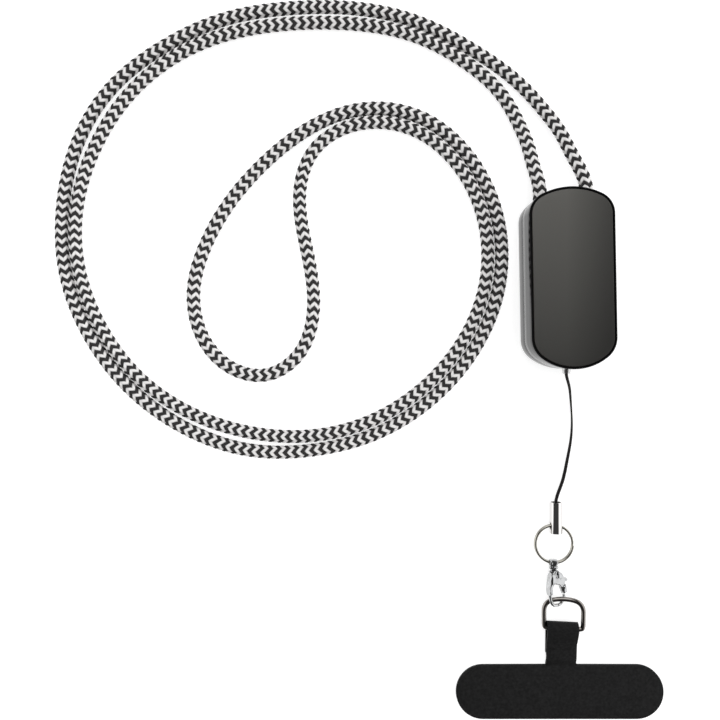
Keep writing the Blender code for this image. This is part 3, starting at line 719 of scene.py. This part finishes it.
# Bushing: a small bright tapered sleeve in the housing's lower end, held between the two shells.
# The string runs out through it, so that it doesn't wear on the shell's edge.
def build_bushing():
    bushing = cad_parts["string_bushing"]
    look = chrome_look("bright_sleeve", (0.6, 0.6, 0.6), 0.2, 0.01 * MM)
    bushing.data.materials.clear()
    bushing.data.materials.append(look)
    bushing.data.shade_smooth()
    bushing.data.set_sharp_from_angle(angle=math.radians(30))


build_bushing()


# Crimp tube: a short chromed tube, open at the string's end, where the doubled string is clamped.
# A cross hole near its other end takes the split ring.
CRIMP_LENGTH = 9.2 * MM
CRIMP_BORE_RADIUS = 1.45 * MM
CRIMP_BORE_DEPTH = 5.2 * MM
CROSS_HOLE_RADIUS = 1.2 * MM
CROSS_HOLE_FROM_END = 2.35 * MM


def build_crimp():
    x, y = CRIMP_MOUTH
    lying = Matrix.Rotation(math.pi / 2, 4, "X")
    middle = Matrix.Translation((x, y - CRIMP_LENGTH / 2, CRIMP_DIAMETER / 2))
    crimp = cylinder(CRIMP_DIAMETER / 2, CRIMP_LENGTH, middle @ lying, 72)
    crimp.name = "chromed_crimp"
    mouth = Matrix.Translation((x, y, CRIMP_DIAMETER / 2))
    bore = cylinder(CRIMP_BORE_RADIUS, 2 * CRIMP_BORE_DEPTH, mouth @ lying, 56)
    hole_y = y - CRIMP_LENGTH + CROSS_HOLE_FROM_END
    across = Matrix.Translation((x, hole_y, CRIMP_DIAMETER / 2)) @ Matrix.Rotation(math.pi / 2, 4, "Y")
    cross = cylinder(CROSS_HOLE_RADIUS, 2 * CRIMP_DIAMETER, across, 56)
    cut(crimp, [bore, cross])
    soften = crimp.modifiers.new("soften", "BEVEL")
    soften.width = 0.14 * MM
    soften.segments = 3
    soften.limit_method = "ANGLE"
    soften.angle_limit = math.radians(40)
    settle(crimp)
    crimp.data.materials.clear()
    chrome = chrome_look("bright_chrome", (0.74, 0.725, 0.715), 0.08, 0.01 * MM)
    # Painted shade: the bore is lined with a dark matt colour, standing in for the shade inside the
    # tube.
    bore_shade = uneven(plain("shaded_bore", (0.035, 0.03, 0.027), 0.6, 0.0, 0.2), 900.0, 0.02 * MM)
    crimp.data.materials.append(chrome)
    crimp.data.materials.append(bore_shade)
    for face in crimp.data.polygons:
        off_axis = math.hypot(face.center.x - x, face.center.z - CRIMP_DIAMETER / 2)
        inside = y - CRIMP_BORE_DEPTH - 0.1 * MM < face.center.y < y - 0.3 * MM
        face.material_index = int(inside and off_axis < CRIMP_BORE_RADIUS + 0.05 * MM)
    crimp.data.shade_smooth()
    crimp.data.set_sharp_from_angle(angle=math.radians(40))
    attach(crimp, "housing")
    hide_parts("crimp_tube")


build_crimp()


# Split ring: two turns of round steel wire pressed together, as in a small key ring. The wire steps
# from one turn to the other at one side, and passes through the crimp tube's cross hole.
RING_DIAMETER = 11.8 * MM
RING_WIRE = 0.75 * MM
RING_TURN_GAP = 0.1 * MM
RING_OFFSET = -0.65 * MM
RING_TILT = math.radians(2.0)
RING_RADIUS = (RING_DIAMETER - RING_WIRE) / 2


def ring_place():
    """The split ring's middle and tilt: its wire passes through the crimp's cross hole."""
    x, y = CRIMP_MOUTH
    drop = math.sqrt(RING_RADIUS**2 - RING_OFFSET**2)
    middle = Vector(
        (
            x + RING_OFFSET,
            y - CRIMP_LENGTH + CROSS_HOLE_FROM_END - drop * math.cos(RING_TILT),
            CRIMP_DIAMETER / 2 + drop * math.sin(RING_TILT),
        )
    )
    return Matrix.Translation(middle) @ Matrix.Rotation(-RING_TILT, 4, "X")


def build_ring():
    rise = RING_WIRE + RING_TURN_GAP
    turns = np.linspace(0.0, 1.93, 190)
    climb = np.clip((turns - 0.88) / 0.2, 0.0, 1.0)
    climb = climb * climb * (3 - 2 * climb)
    angle = math.radians(20.0) + 2 * math.pi * turns
    line = np.stack(
        [RING_RADIUS * np.cos(angle), RING_RADIUS * np.sin(angle), rise * (climb - 0.5)], axis=1
    )
    steel = chrome_look("ring_steel", (0.46, 0.445, 0.4), 0.1, 0.02 * MM)
    ring = finished("split_ring_wire", tube(line, RING_WIRE, 18), steel, 60)
    ring.data.transform(ring_place())
    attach(ring, "housing")
    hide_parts("split_ring")


build_ring()


# Swivel: a cast chromed eye round both turns of the split ring, with a round shoulder below it.
# Its post and head turn in the clasp's barrel.
EYE_WIRE = 0.6 * MM
EYE_WIDTH = 2.3 * MM
SWIVEL_HEADING = math.radians(3.0)
SWIVEL_PITCH = math.radians(5.5)
CLASP_ROLL = math.radians(28.0)
SEAT_GAP = 0.3 * MM
EYE_GAP = 0.12 * MM
SHOULDER_START = RING_WIRE / 2 + SEAT_GAP + EYE_GAP
SHOULDER_RADIUS = 1.45 * MM
SHOULDER_LENGTH = 1.25 * MM
POST_RADIUS = 0.55 * MM
POST_LENGTH = 1.3 * MM
HEAD_RADIUS = 0.9 * MM
HEAD_LENGTH = 0.4 * MM
CLASP_CHROME = chrome_look("cast_chrome", (0.5, 0.505, 0.51), 0.13, 1.2 * MM)


def swivel_place():
    """Frame of the swivel: its origin on the split ring's wire, the clasp lying along its -Y."""
    lowest = ring_place() @ Vector((0.0, -RING_RADIUS, 0.0))
    lowest.x += -0.25 * MM
    turned = Matrix.Rotation(SWIVEL_HEADING, 4, "Z") @ Matrix.Rotation(-SWIVEL_PITCH, 4, "X")
    return Matrix.Translation(lowest) @ turned


def turned_mesh(profile):
    """A turned solid along -Y from (radius, distance) pairs, closed at both ends."""
    form = bmesh.new()
    outline = [(0.0, profile[0][1]), *profile, (0.0, profile[-1][1])]
    corners = [form.verts.new((radius, -down, 0.0)) for radius, down in outline]
    edges = [form.edges.new(pair) for pair in zip(corners, corners[1:])]
    bmesh.ops.spin(
        form,
        geom=corners + edges,
        cent=(0.0, 0.0, 0.0),
        axis=(0.0, 1.0, 0.0),
        angle=2 * math.pi,
        steps=48,
        use_merge=True,
    )
    mesh = bpy.data.meshes.new("turned")
    form.to_mesh(mesh)
    form.free()
    return mesh


def cast(name, meshes, detail, rounds, look, cuts=()):
    """Several overlapping shapes fused into one soft-edged casting."""
    piece = finished(name, meshes[0], look)
    helpers = [finished("part", mesh, None) for mesh in meshes[1:]]
    for helper in helpers:
        combine(piece, "UNION", helper)
    for tool in cuts:
        combine(piece, "DIFFERENCE", tool)
    fuse = piece.modifiers.new("cast", "REMESH")
    fuse.mode = "VOXEL"
    fuse.voxel_size = detail
    soften = piece.modifiers.new("soften", "SMOOTH")
    soften.iterations = rounds
    soften.factor = 0.5
    settle(piece)
    for helper in list(helpers) + list(cuts):
        bpy.data.objects.remove(helper, do_unlink=True)
    piece.data.materials.clear()
    piece.data.materials.append(look)
    piece.data.shade_smooth()
    return piece


def build_swivel():
    bundle = 2 * RING_WIRE + RING_TURN_GAP
    half_wide = RING_WIRE / 2 + EYE_GAP + EYE_WIRE / 2
    half_high = bundle / 2 + EYE_GAP + EYE_WIRE / 2
    straight = half_high - half_wide
    loop = arc((0.0, straight), half_wide, 0.0, 180.0, 24)
    loop += arc((0.0, -straight), half_wide, 180.0, 360.0, 24)
    eye = tube([(0.0, y, z) for y, z in loop], EYE_WIRE, 20, closed=True, up=(1.0, 0.0, 0.0))
    eye.transform(Matrix.Diagonal((EYE_WIDTH / EYE_WIRE, 1.0, 1.0, 1.0)))
    half = SHOULDER_LENGTH / 2
    bulge = [
        (SHOULDER_RADIUS * math.sin(turn) ** 0.7, SHOULDER_START + half - half * math.cos(turn))
        for turn in np.linspace(0.25, 2.9, 14)
    ]
    end = SHOULDER_START + SHOULDER_LENGTH + POST_LENGTH
    stem = [
        (POST_RADIUS, SHOULDER_START + SHOULDER_LENGTH * 0.9),
        (POST_RADIUS, end - HEAD_LENGTH),
        (HEAD_RADIUS, end - HEAD_LENGTH),
        (HEAD_RADIUS, end),
    ]
    swivel = cast(
        "cast_swivel", [eye, turned_mesh(bulge), turned_mesh(stem)], 0.06 * MM, 6, CLASP_CHROME
    )
    swivel.data.transform(swivel_place())
    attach(swivel, "housing")
    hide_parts("swivel_eye")


build_swivel()


# Lobster clasp: a chromed casting with a short barrel, two cheeks and a long hooked arm, and a
# lever between the cheeks that closes the hook. All outlines are in millimetres: to the right of
# the swivel's line, then down from the split ring.
CASTING_OUTLINE = (
    (-1.0, 2.6),
    (1.2, 2.6),
    (2.0, 3.1),
    (2.6, 3.75),
    (2.95, 4.5),
    (3.0, 5.3),
    (2.85, 5.95),
    (2.3, 6.55),
    (1.6, 6.8),
    (0.8, 6.6),
    (-0.3, 6.3),
    (-0.9, 6.2),
    (-1.3, 6.7),
    (-1.6, 7.5),
    (-1.75, 8.3),
    (-1.65, 9.1),
    (-2.55, 9.2),
    (-2.75, 8.3),
    (-2.7, 7.3),
    (-2.5, 6.2),
    (-2.1, 4.8),
    (-1.75, 3.5),
)
HOOK_LINE = (
    (-2.2, 8.4),
    (-2.15, 9.3),
    (-2.05, 10.5),
    (-1.65, 11.55),
    (-1.0, 12.2),
    (-0.1, 12.4),
    (0.75, 12.4),
    (1.55, 12.15),
    (2.3, 11.55),
    (2.85, 10.8),
    (3.1, 10.15),
    (3.15, 9.6),
)
LEVER_OUTLINE = (
    (-0.95, -0.3),
    (-0.65, -0.8),
    (0.0, -1.0),
    (0.65, -0.8),
    (1.5, -0.5),
    (2.6, -0.15),
    (3.05, 0.5),
    (2.7, 0.85),
    (1.9, 1.0),
    (2.05, 2.2),
    (2.15, 3.4),
    (1.0, 4.0),
    (0.6, 3.2),
    (0.1, 2.0),
    (-0.5, 0.9),
    (-0.95, 0.3),
)
GATE_OUTLINE = (
    (0.15, 2.1),
    (1.0, 2.1),
    (1.85, 1.65),
    (2.05, 2.2),
    (2.2, 3.2),
    (2.15, 4.0),
    (1.05, 4.35),
    (0.75, 3.4),
    (0.45, 2.6),
)
SLOT_OUTLINE = ((0.5, 3.8), (5.3, 3.8), (5.3, 7.0), (0.5, 7.0))
DENT_MIDDLE = (0.25 * MM, -3.6 * MM, 1.4 * MM)
DENT_RADII = (0.6 * MM, 1.2 * MM, 0.75 * MM)
CLASP_THICKNESS = 2.4 * MM
BARREL_WALL = 0.4 * MM
HOOK_WIRE = 0.95 * MM
LEVER_THICKNESS = 1.0 * MM
GATE_THICKNESS = 2.0 * MM
LEVER_PIVOT = (1.7, 5.0)
LEVER_PIN = 0.7 * MM
CLASP_PLACE = swivel_place() @ Matrix.Rotation(CLASP_ROLL, 4, "Y")


def slab(outline, thickness, at=(0.0, 0.0), edge=0.0):
    """A flat shape from (across, along) pairs in millimetres, in the clasp's own plane."""
    points = [((a + at[0]) * MM, -(b + at[1]) * MM) for a, b in outline]
    form = bmesh.new()
    face = form.faces.new([form.verts.new((x, y, -thickness / 2)) for x, y in points])
    grown = bmesh.ops.extrude_face_region(form, geom=[face])["geom"]
    lifted = [part for part in grown if isinstance(part, bmesh.types.BMVert)]
    bmesh.ops.translate(form, verts=lifted, vec=(0.0, 0.0, thickness))
    bmesh.ops.recalc_face_normals(form, faces=form.faces)
    if edge:
        level = [e for e in form.edges if abs(e.verts[0].co.z - e.verts[1].co.z) < 1e-8]
        bmesh.ops.bevel(
            form, geom=level, offset=edge, segments=3, profile=0.5, affect="EDGES", material=-1
        )
    mesh = bpy.data.meshes.new("slab")
    form.to_mesh(mesh)
    form.free()
    return mesh


def build_clasp():
    body = slab(CASTING_OUTLINE, CLASP_THICKNESS, edge=0.45 * MM)
    line = [(a * MM, -b * MM, 0.0) for a, b in HOOK_LINE]
    hook = tube(smooth_curve(line, np.linspace(0, len(line) - 1, 70)), HOOK_WIRE, 24)
    mouth = SHOULDER_START + SHOULDER_LENGTH + RUNNING_GAP
    end = SHOULDER_START + SHOULDER_LENGTH + POST_LENGTH
    room = HEAD_RADIUS + RUNNING_GAP
    outer = room + BARREL_WALL
    closed = end + RUNNING_GAP + BARREL_WALL
    barrel = turned_mesh(
        [
            (outer * 0.8, mouth),
            (outer, mouth + 0.2 * MM),
            (outer, closed - 0.2 * MM),
            (outer * 0.8, closed),
        ]
    )
    head = end - HEAD_LENGTH - RUNNING_GAP
    neck = POST_RADIUS + RUNNING_GAP
    hollow = turned_mesh([(neck, 0.0), (neck, head), (room, head), (room, end + RUNNING_GAP)])
    slot = slab(SLOT_OUTLINE, LEVER_THICKNESS + 2 * RUNNING_GAP)
    form = bmesh.new()
    oval = Matrix.Translation(DENT_MIDDLE) @ Matrix.Diagonal((*DENT_RADII, 1.0))
    bmesh.ops.create_icosphere(form, subdivisions=4, radius=1.0, matrix=oval)
    dent = bpy.data.meshes.new("dent")
    form.to_mesh(dent)
    form.free()
    cuts = [finished("cut_out", mesh, None) for mesh in (hollow, slot, dent)]
    clasp = cast("cast_clasp", [body, hook, barrel], 0.065 * MM, 10, CLASP_CHROME, cuts)
    pivot = Matrix.Translation((LEVER_PIVOT[0] * MM, -LEVER_PIVOT[1] * MM, 0.0))
    pin = cylinder(LEVER_PIN / 2, CLASP_THICKNESS + 0.1 * MM, pivot, 32)
    pin.data.materials.append(CLASP_CHROME)
    for piece in (clasp, pin):
        piece.data.transform(CLASP_PLACE)
        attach(piece, "clasp")
    pin.name = "lever_pin"
    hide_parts("clasp_body")

    lever = cast(
        "cast_lever",
        [
            slab(LEVER_OUTLINE, LEVER_THICKNESS, LEVER_PIVOT, 0.15 * MM),
            slab(GATE_OUTLINE, GATE_THICKNESS, LEVER_PIVOT, 0.4 * MM),
        ],
        0.05 * MM,
        3,
        CLASP_CHROME,
        [cylinder(LEVER_PIN / 2 + RUNNING_GAP, CLASP_THICKNESS, pivot, 32)],
    )
    lever.data.transform(CLASP_PLACE)
    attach(lever, "lever")
    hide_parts("clasp_lever")


build_clasp()


# D-ring: round wire in dark nickel, bent to a D and closed. Its curved side hangs in the clasp's
# hook, and the cloth patch folds over its straight bar.
D_WIRE = 1.4 * MM
D_WIDTH = 12.75 * MM
D_HEIGHT = 10.25 * MM
D_BAR = (0.65 * MM, -102.55 * MM)
D_ROLL = math.radians(9.0)
D_PITCH = math.radians(3.8)
PATCH_THICKNESS = 1.0 * MM
NECK_WIDTH = 8.9 * MM
FOLD_RADIUS = D_WIRE / 2 + SEAT_GAP + PATCH_THICKNESS / 2
BAR_HEIGHT = PATCH_THICKNESS / 2 + FOLD_RADIUS + NECK_WIDTH / 2 * math.tan(D_ROLL)

# One side of the D's centreline, as shares of half its width and of its height
D_SIDE = (
    (0.0, 0.0),
    (0.45, 0.0),
    (0.86, 0.0),
    (0.94, 0.02),
    (0.98, 0.08),
    (0.995, 0.2),
    (1.0, 0.531),
    (0.98, 0.689),
    (0.809, 0.876),
    (0.443, 0.974),
    (0.0, 1.0),
)


def build_d_ring():
    half = (D_WIDTH - D_WIRE) / 2
    tall = D_HEIGHT - D_WIRE
    right = [(a * half, b * tall, 0.0) for a, b in D_SIDE]
    loop = right + [(-x, y, 0.0) for x, y, _ in reversed(right[1:-1])]
    line = smooth_curve(loop, np.arange(0, len(loop), 0.125), closed=True)
    nickel = chrome_look("dark_nickel", (0.3, 0.28, 0.262), 0.15, 0.02 * MM)
    ring = finished("d_ring_wire", tube(line, D_WIRE, 24, closed=True), nickel, 60)
    turned = Matrix.Rotation(-D_ROLL, 4, "Y") @ Matrix.Rotation(D_PITCH, 4, "X")
    ring.data.transform(Matrix.Translation((*D_BAR, BAR_HEIGHT)) @ turned)
    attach(ring, "clasp")
    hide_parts("d_ring")


build_d_ring()


# Phone patch: one T of stiff black woven cloth. Its bar lies between a phone and the phone's case,
# and its neck folds over the D-ring's bar and back under itself.
PATCH_WIDTH = 62.0 * MM
PATCH_HEIGHT = 16.1 * MM
NECK_LENGTH = 11.6 * MM
NECK_MIDDLE = 0.25 * MM
NECK_FLARE = 0.55 * MM
FLARE_LENGTH = 1.4 * MM
LAYER_GAP = 0.15 * MM

# Upper layer of the neck: share of its length from the bar, of a layer, of the climb, of the twist
NECK_OVER = (
    (1.0, 0.0, 0.0, 0.0),
    (0.92, 0.35, 0.0, 0.0),
    (0.84, 0.85, 0.0, 0.0),
    (0.75, 1.05, 0.0, 0.0),
    (0.62, 1.02, 0.03, 0.05),
    (0.5, 1.0, 0.09, 0.18),
    (0.35, 1.0, 0.28, 0.4),
    (0.17, 1.0, 0.68, 0.7),
)

# The layer that returns underneath: share of the neck's length, of the climb, of the twist
NECK_UNDER = (
    (0.17, 0.82, 0.7),
    (0.35, 0.5, 0.4),
    (0.52, 0.2, 0.15),
    (0.68, 0.03, 0.0),
)


def neck_rows():
    """The neck's middle surface from the patch over the fold and back: y, z, lift to the right."""
    bar_y = D_BAR[1]
    top = BAR_HEIGHT + FOLD_RADIUS
    bottom = BAR_HEIGHT - FOLD_RADIUS
    lift = math.tan(D_ROLL)
    layer = PATCH_THICKNESS + LAYER_GAP
    over = []
    for along, seat, climb, twist in NECK_OVER:
        base = PATCH_THICKNESS / 2 + seat * layer
        height = base + climb * (top - PATCH_THICKNESS / 2 - layer)
        over.append((bar_y - along * NECK_LENGTH, height, lift * twist))
    fold = [(y, z, lift) for y, z in arc((bar_y, BAR_HEIGHT), FOLD_RADIUS, 90.0, -90.0, 14)]
    under = []
    for along, climb, twist in NECK_UNDER:
        height = PATCH_THICKNESS / 2 + climb * (bottom - PATCH_THICKNESS / 2)
        under.append((bar_y - along * NECK_LENGTH, height, lift * twist))
    knots = np.array(over + [fold[0]])
    smooth = smooth_curve(knots, np.linspace(0, len(knots) - 1, 40))
    back = np.array([fold[-1]] + under)
    lower = smooth_curve(back, np.linspace(0, len(back) - 1, 16))
    return [tuple(row) for row in smooth[:-1]] + fold + [tuple(row) for row in lower[1:]]


CLOTH_DARK = (0.0065, 0.0065, 0.0066)
CLOTH_PALE = (0.015, 0.015, 0.0153)


def cloth_look():
    """Black coated cloth with a fine plain weave that only just shows."""
    made = plain("black_cloth", CLOTH_PALE, 0.7, 0.0, 0.15)
    nodes, links = made.node_tree.nodes, made.node_tree.links
    shader = nodes["Principled BSDF"]
    where = nodes.new("ShaderNodeTexCoord")
    relief = nodes.new("ShaderNodeBump")
    relief.inputs["Strength"].default_value = 0.5
    relief.inputs["Distance"].default_value = 0.06 * MM
    threads = []
    for direction in ("X", "Y"):
        wave = nodes.new("ShaderNodeTexWave")
        wave.bands_direction = direction
        wave.inputs["Scale"].default_value = 900.0
        wave.inputs["Distortion"].default_value = 0.6
        wave.inputs["Detail"].default_value = 1.0
        links.new(where.outputs["Object"], wave.inputs["Vector"])
        threads.append(wave.outputs["Fac"])
    links.new(maths(made.node_tree, "MAXIMUM", *threads), relief.inputs["Height"])
    links.new(relief.outputs["Normal"], shader.inputs["Normal"])
    mottle = nodes.new("ShaderNodeTexNoise")
    mottle.inputs["Scale"].default_value = 1500.0
    mottle.inputs["Detail"].default_value = 4.0
    links.new(where.outputs["Object"], mottle.inputs["Vector"])
    dark, pale = (0.35, *CLOTH_DARK), (0.75, *CLOTH_PALE)
    tint = ramp_between(made.node_tree, mottle.outputs["Fac"], dark, pale)
    links.new(tint, shader.inputs["Base Color"])
    return made


def build_patch():
    top = D_BAR[1] - NECK_LENGTH
    radius = PATCH_HEIGHT / 2
    reach = PATCH_WIDTH / 2 - radius
    left = NECK_MIDDLE - NECK_WIDTH / 2
    right = NECK_MIDDLE + NECK_WIDTH / 2
    outline = [(left, top)]
    outline += arc((-reach, top - radius), radius, 90.0, 270.0, 40)
    outline += arc((reach, top - radius), radius, -90.0, 90.0, 40)
    outline += [(right + NECK_FLARE, top)]
    form = bmesh.new()
    corners = [form.verts.new((x, y, PATCH_THICKNESS / 2)) for x, y in outline]
    form.faces.new(corners)
    edge = form.edges.get((corners[-1], corners[0]))
    for y, z, lift in neck_rows()[1:]:
        grown = bmesh.ops.extrude_edge_only(form, edges=[edge])["geom"]
        edge = next(part for part in grown if isinstance(part, bmesh.types.BMEdge))
        flare = NECK_FLARE * max(0.0, 1.0 - (y - top) / FLARE_LENGTH) ** 2
        for vertex in edge.verts:
            if vertex.co.x > NECK_MIDDLE:
                vertex.co.x = right + flare
            vertex.co.y = y
            vertex.co.z = z + lift * (vertex.co.x - NECK_MIDDLE)
    mesh = bpy.data.meshes.new("woven_patch")
    form.to_mesh(mesh)
    form.free()
    patch = finished("woven_patch", mesh, cloth_look(), 50)
    wall = patch.modifiers.new("cloth", "SOLIDIFY")
    wall.thickness = PATCH_THICKNESS
    wall.offset = 0.0
    wall.use_even_offset = True
    soften = patch.modifiers.new("soften", "BEVEL")
    soften.width = 0.16 * MM
    soften.segments = 3
    soften.limit_method = "ANGLE"
    soften.angle_limit = math.radians(50)
    settle(patch)
    patch.data.shade_smooth()
    patch.data.set_sharp_from_angle(angle=math.radians(40))
    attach(patch, "clasp")
    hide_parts("phone_patch")


build_patch()


# Floor: a plain white sheet under the strap. It glows a little, so that the strap looks cut out,
# as in a catalogue.
def glowing_white(name, grey, glow):
    """Matt white that gives off light of its own."""
    made = plain(name, (grey, grey, grey), 0.9, 0.0, 0.0)
    shader = made.node_tree.nodes["Principled BSDF"]
    shader.inputs["Emission Color"].default_value = (1.0, 1.0, 1.0, 1.0)
    shader.inputs["Emission Strength"].default_value = glow
    return made


def build_floor():
    form = bmesh.new()
    bmesh.ops.create_grid(form, x_segments=1, y_segments=1, size=2.5)
    mesh = bpy.data.meshes.new("floor")
    form.to_mesh(mesh)
    form.free()
    floor = finished("floor", mesh, glowing_white("white_floor", 0.45, 0.74))
    floor.location.z = -0.02 * MM


build_floor()


# Backdrop: a white dome behind everything. It is only seen directly, so that it lights nothing,
# shades nothing and shows in no reflection.
def build_backdrop():
    form = bmesh.new()
    bmesh.ops.create_icosphere(form, subdivisions=4, radius=2.4)
    bmesh.ops.reverse_faces(form, faces=form.faces)
    mesh = bpy.data.meshes.new("backdrop")
    form.to_mesh(mesh)
    form.free()
    mesh.materials.append(glowing_white("white_backdrop", 0.0, 1.0))
    backdrop = bpy.data.objects.new("backdrop", mesh)
    bpy.context.scene.collection.objects.link(backdrop)
    backdrop.visible_diffuse = False
    backdrop.visible_glossy = False
    backdrop.visible_transmission = False
    backdrop.visible_shadow = False


build_backdrop()


# Light: a dim room with a bright wall at left and right and a bright window beyond the top edge.
# The walls whiten the sides of the chrome, the dark ceiling draws its middle line, and the window
# gives the dark metal its highlight. A broad soft lamp overhead lights all but the reflections.
LEFT_WALL_LIGHT = 1.4
RIGHT_WALL_LIGHT = 1.35
WINDOW_LIGHT = 1.5
ROOM_LIGHT = 0.05
OVERHEAD_LIGHT = 1.8


def band(tree, value, low, high):
    """A soft step from 0 to 1 as a value passes from low to high."""
    step = tree.nodes.new("ShaderNodeMapRange")
    step.interpolation_type = "SMOOTHSTEP"
    step.inputs["From Min"].default_value = low
    step.inputs["From Max"].default_value = high
    tree.links.new(value, step.inputs["Value"])
    return step.outputs["Result"]


def build_light():
    world = bpy.data.worlds.new("studio")
    bpy.context.scene.world = world
    world.use_nodes = True
    tree = world.node_tree
    where = tree.nodes.new("ShaderNodeTexCoord")
    split = tree.nodes.new("ShaderNodeSeparateXYZ")
    tree.links.new(where.outputs["Generated"], split.inputs["Vector"])
    across, along, up = (split.outputs[name] for name in ("X", "Y", "Z"))
    left = band(tree, across, -0.8, -0.92)
    right = band(tree, across, 0.5, 0.66)
    off_middle = maths(tree, "ABSOLUTE", maths(tree, "ADD", across, 0.06), 0.0)
    window = maths(tree, "MULTIPLY", band(tree, along, 0.24, 0.36), band(tree, up, 0.2, 0.3))
    window = maths(tree, "MULTIPLY", window, band(tree, off_middle, 0.34, 0.2))
    light = maths(tree, "MULTIPLY", left, LEFT_WALL_LIGHT)
    light = maths(tree, "ADD", light, maths(tree, "MULTIPLY", right, RIGHT_WALL_LIGHT))
    light = maths(tree, "ADD", light, maths(tree, "MULTIPLY", window, WINDOW_LIGHT))
    light = maths(tree, "ADD", light, ROOM_LIGHT)
    background = tree.nodes["Background"]
    background.inputs["Color"].default_value = (1.0, 1.0, 1.0, 1.0)
    tree.links.new(light, background.inputs["Strength"])
    overhead = bpy.data.objects.new("overhead", bpy.data.lights.new("overhead", "SUN"))
    overhead.data.energy = OVERHEAD_LIGHT
    overhead.data.angle = math.radians(60.0)
    overhead.location = (0.0, 0.0, 0.6)
    overhead.visible_glossy = False
    bpy.context.scene.collection.objects.link(overhead)
    bpy.context.scene.view_settings.view_transform = "Standard"


build_light()
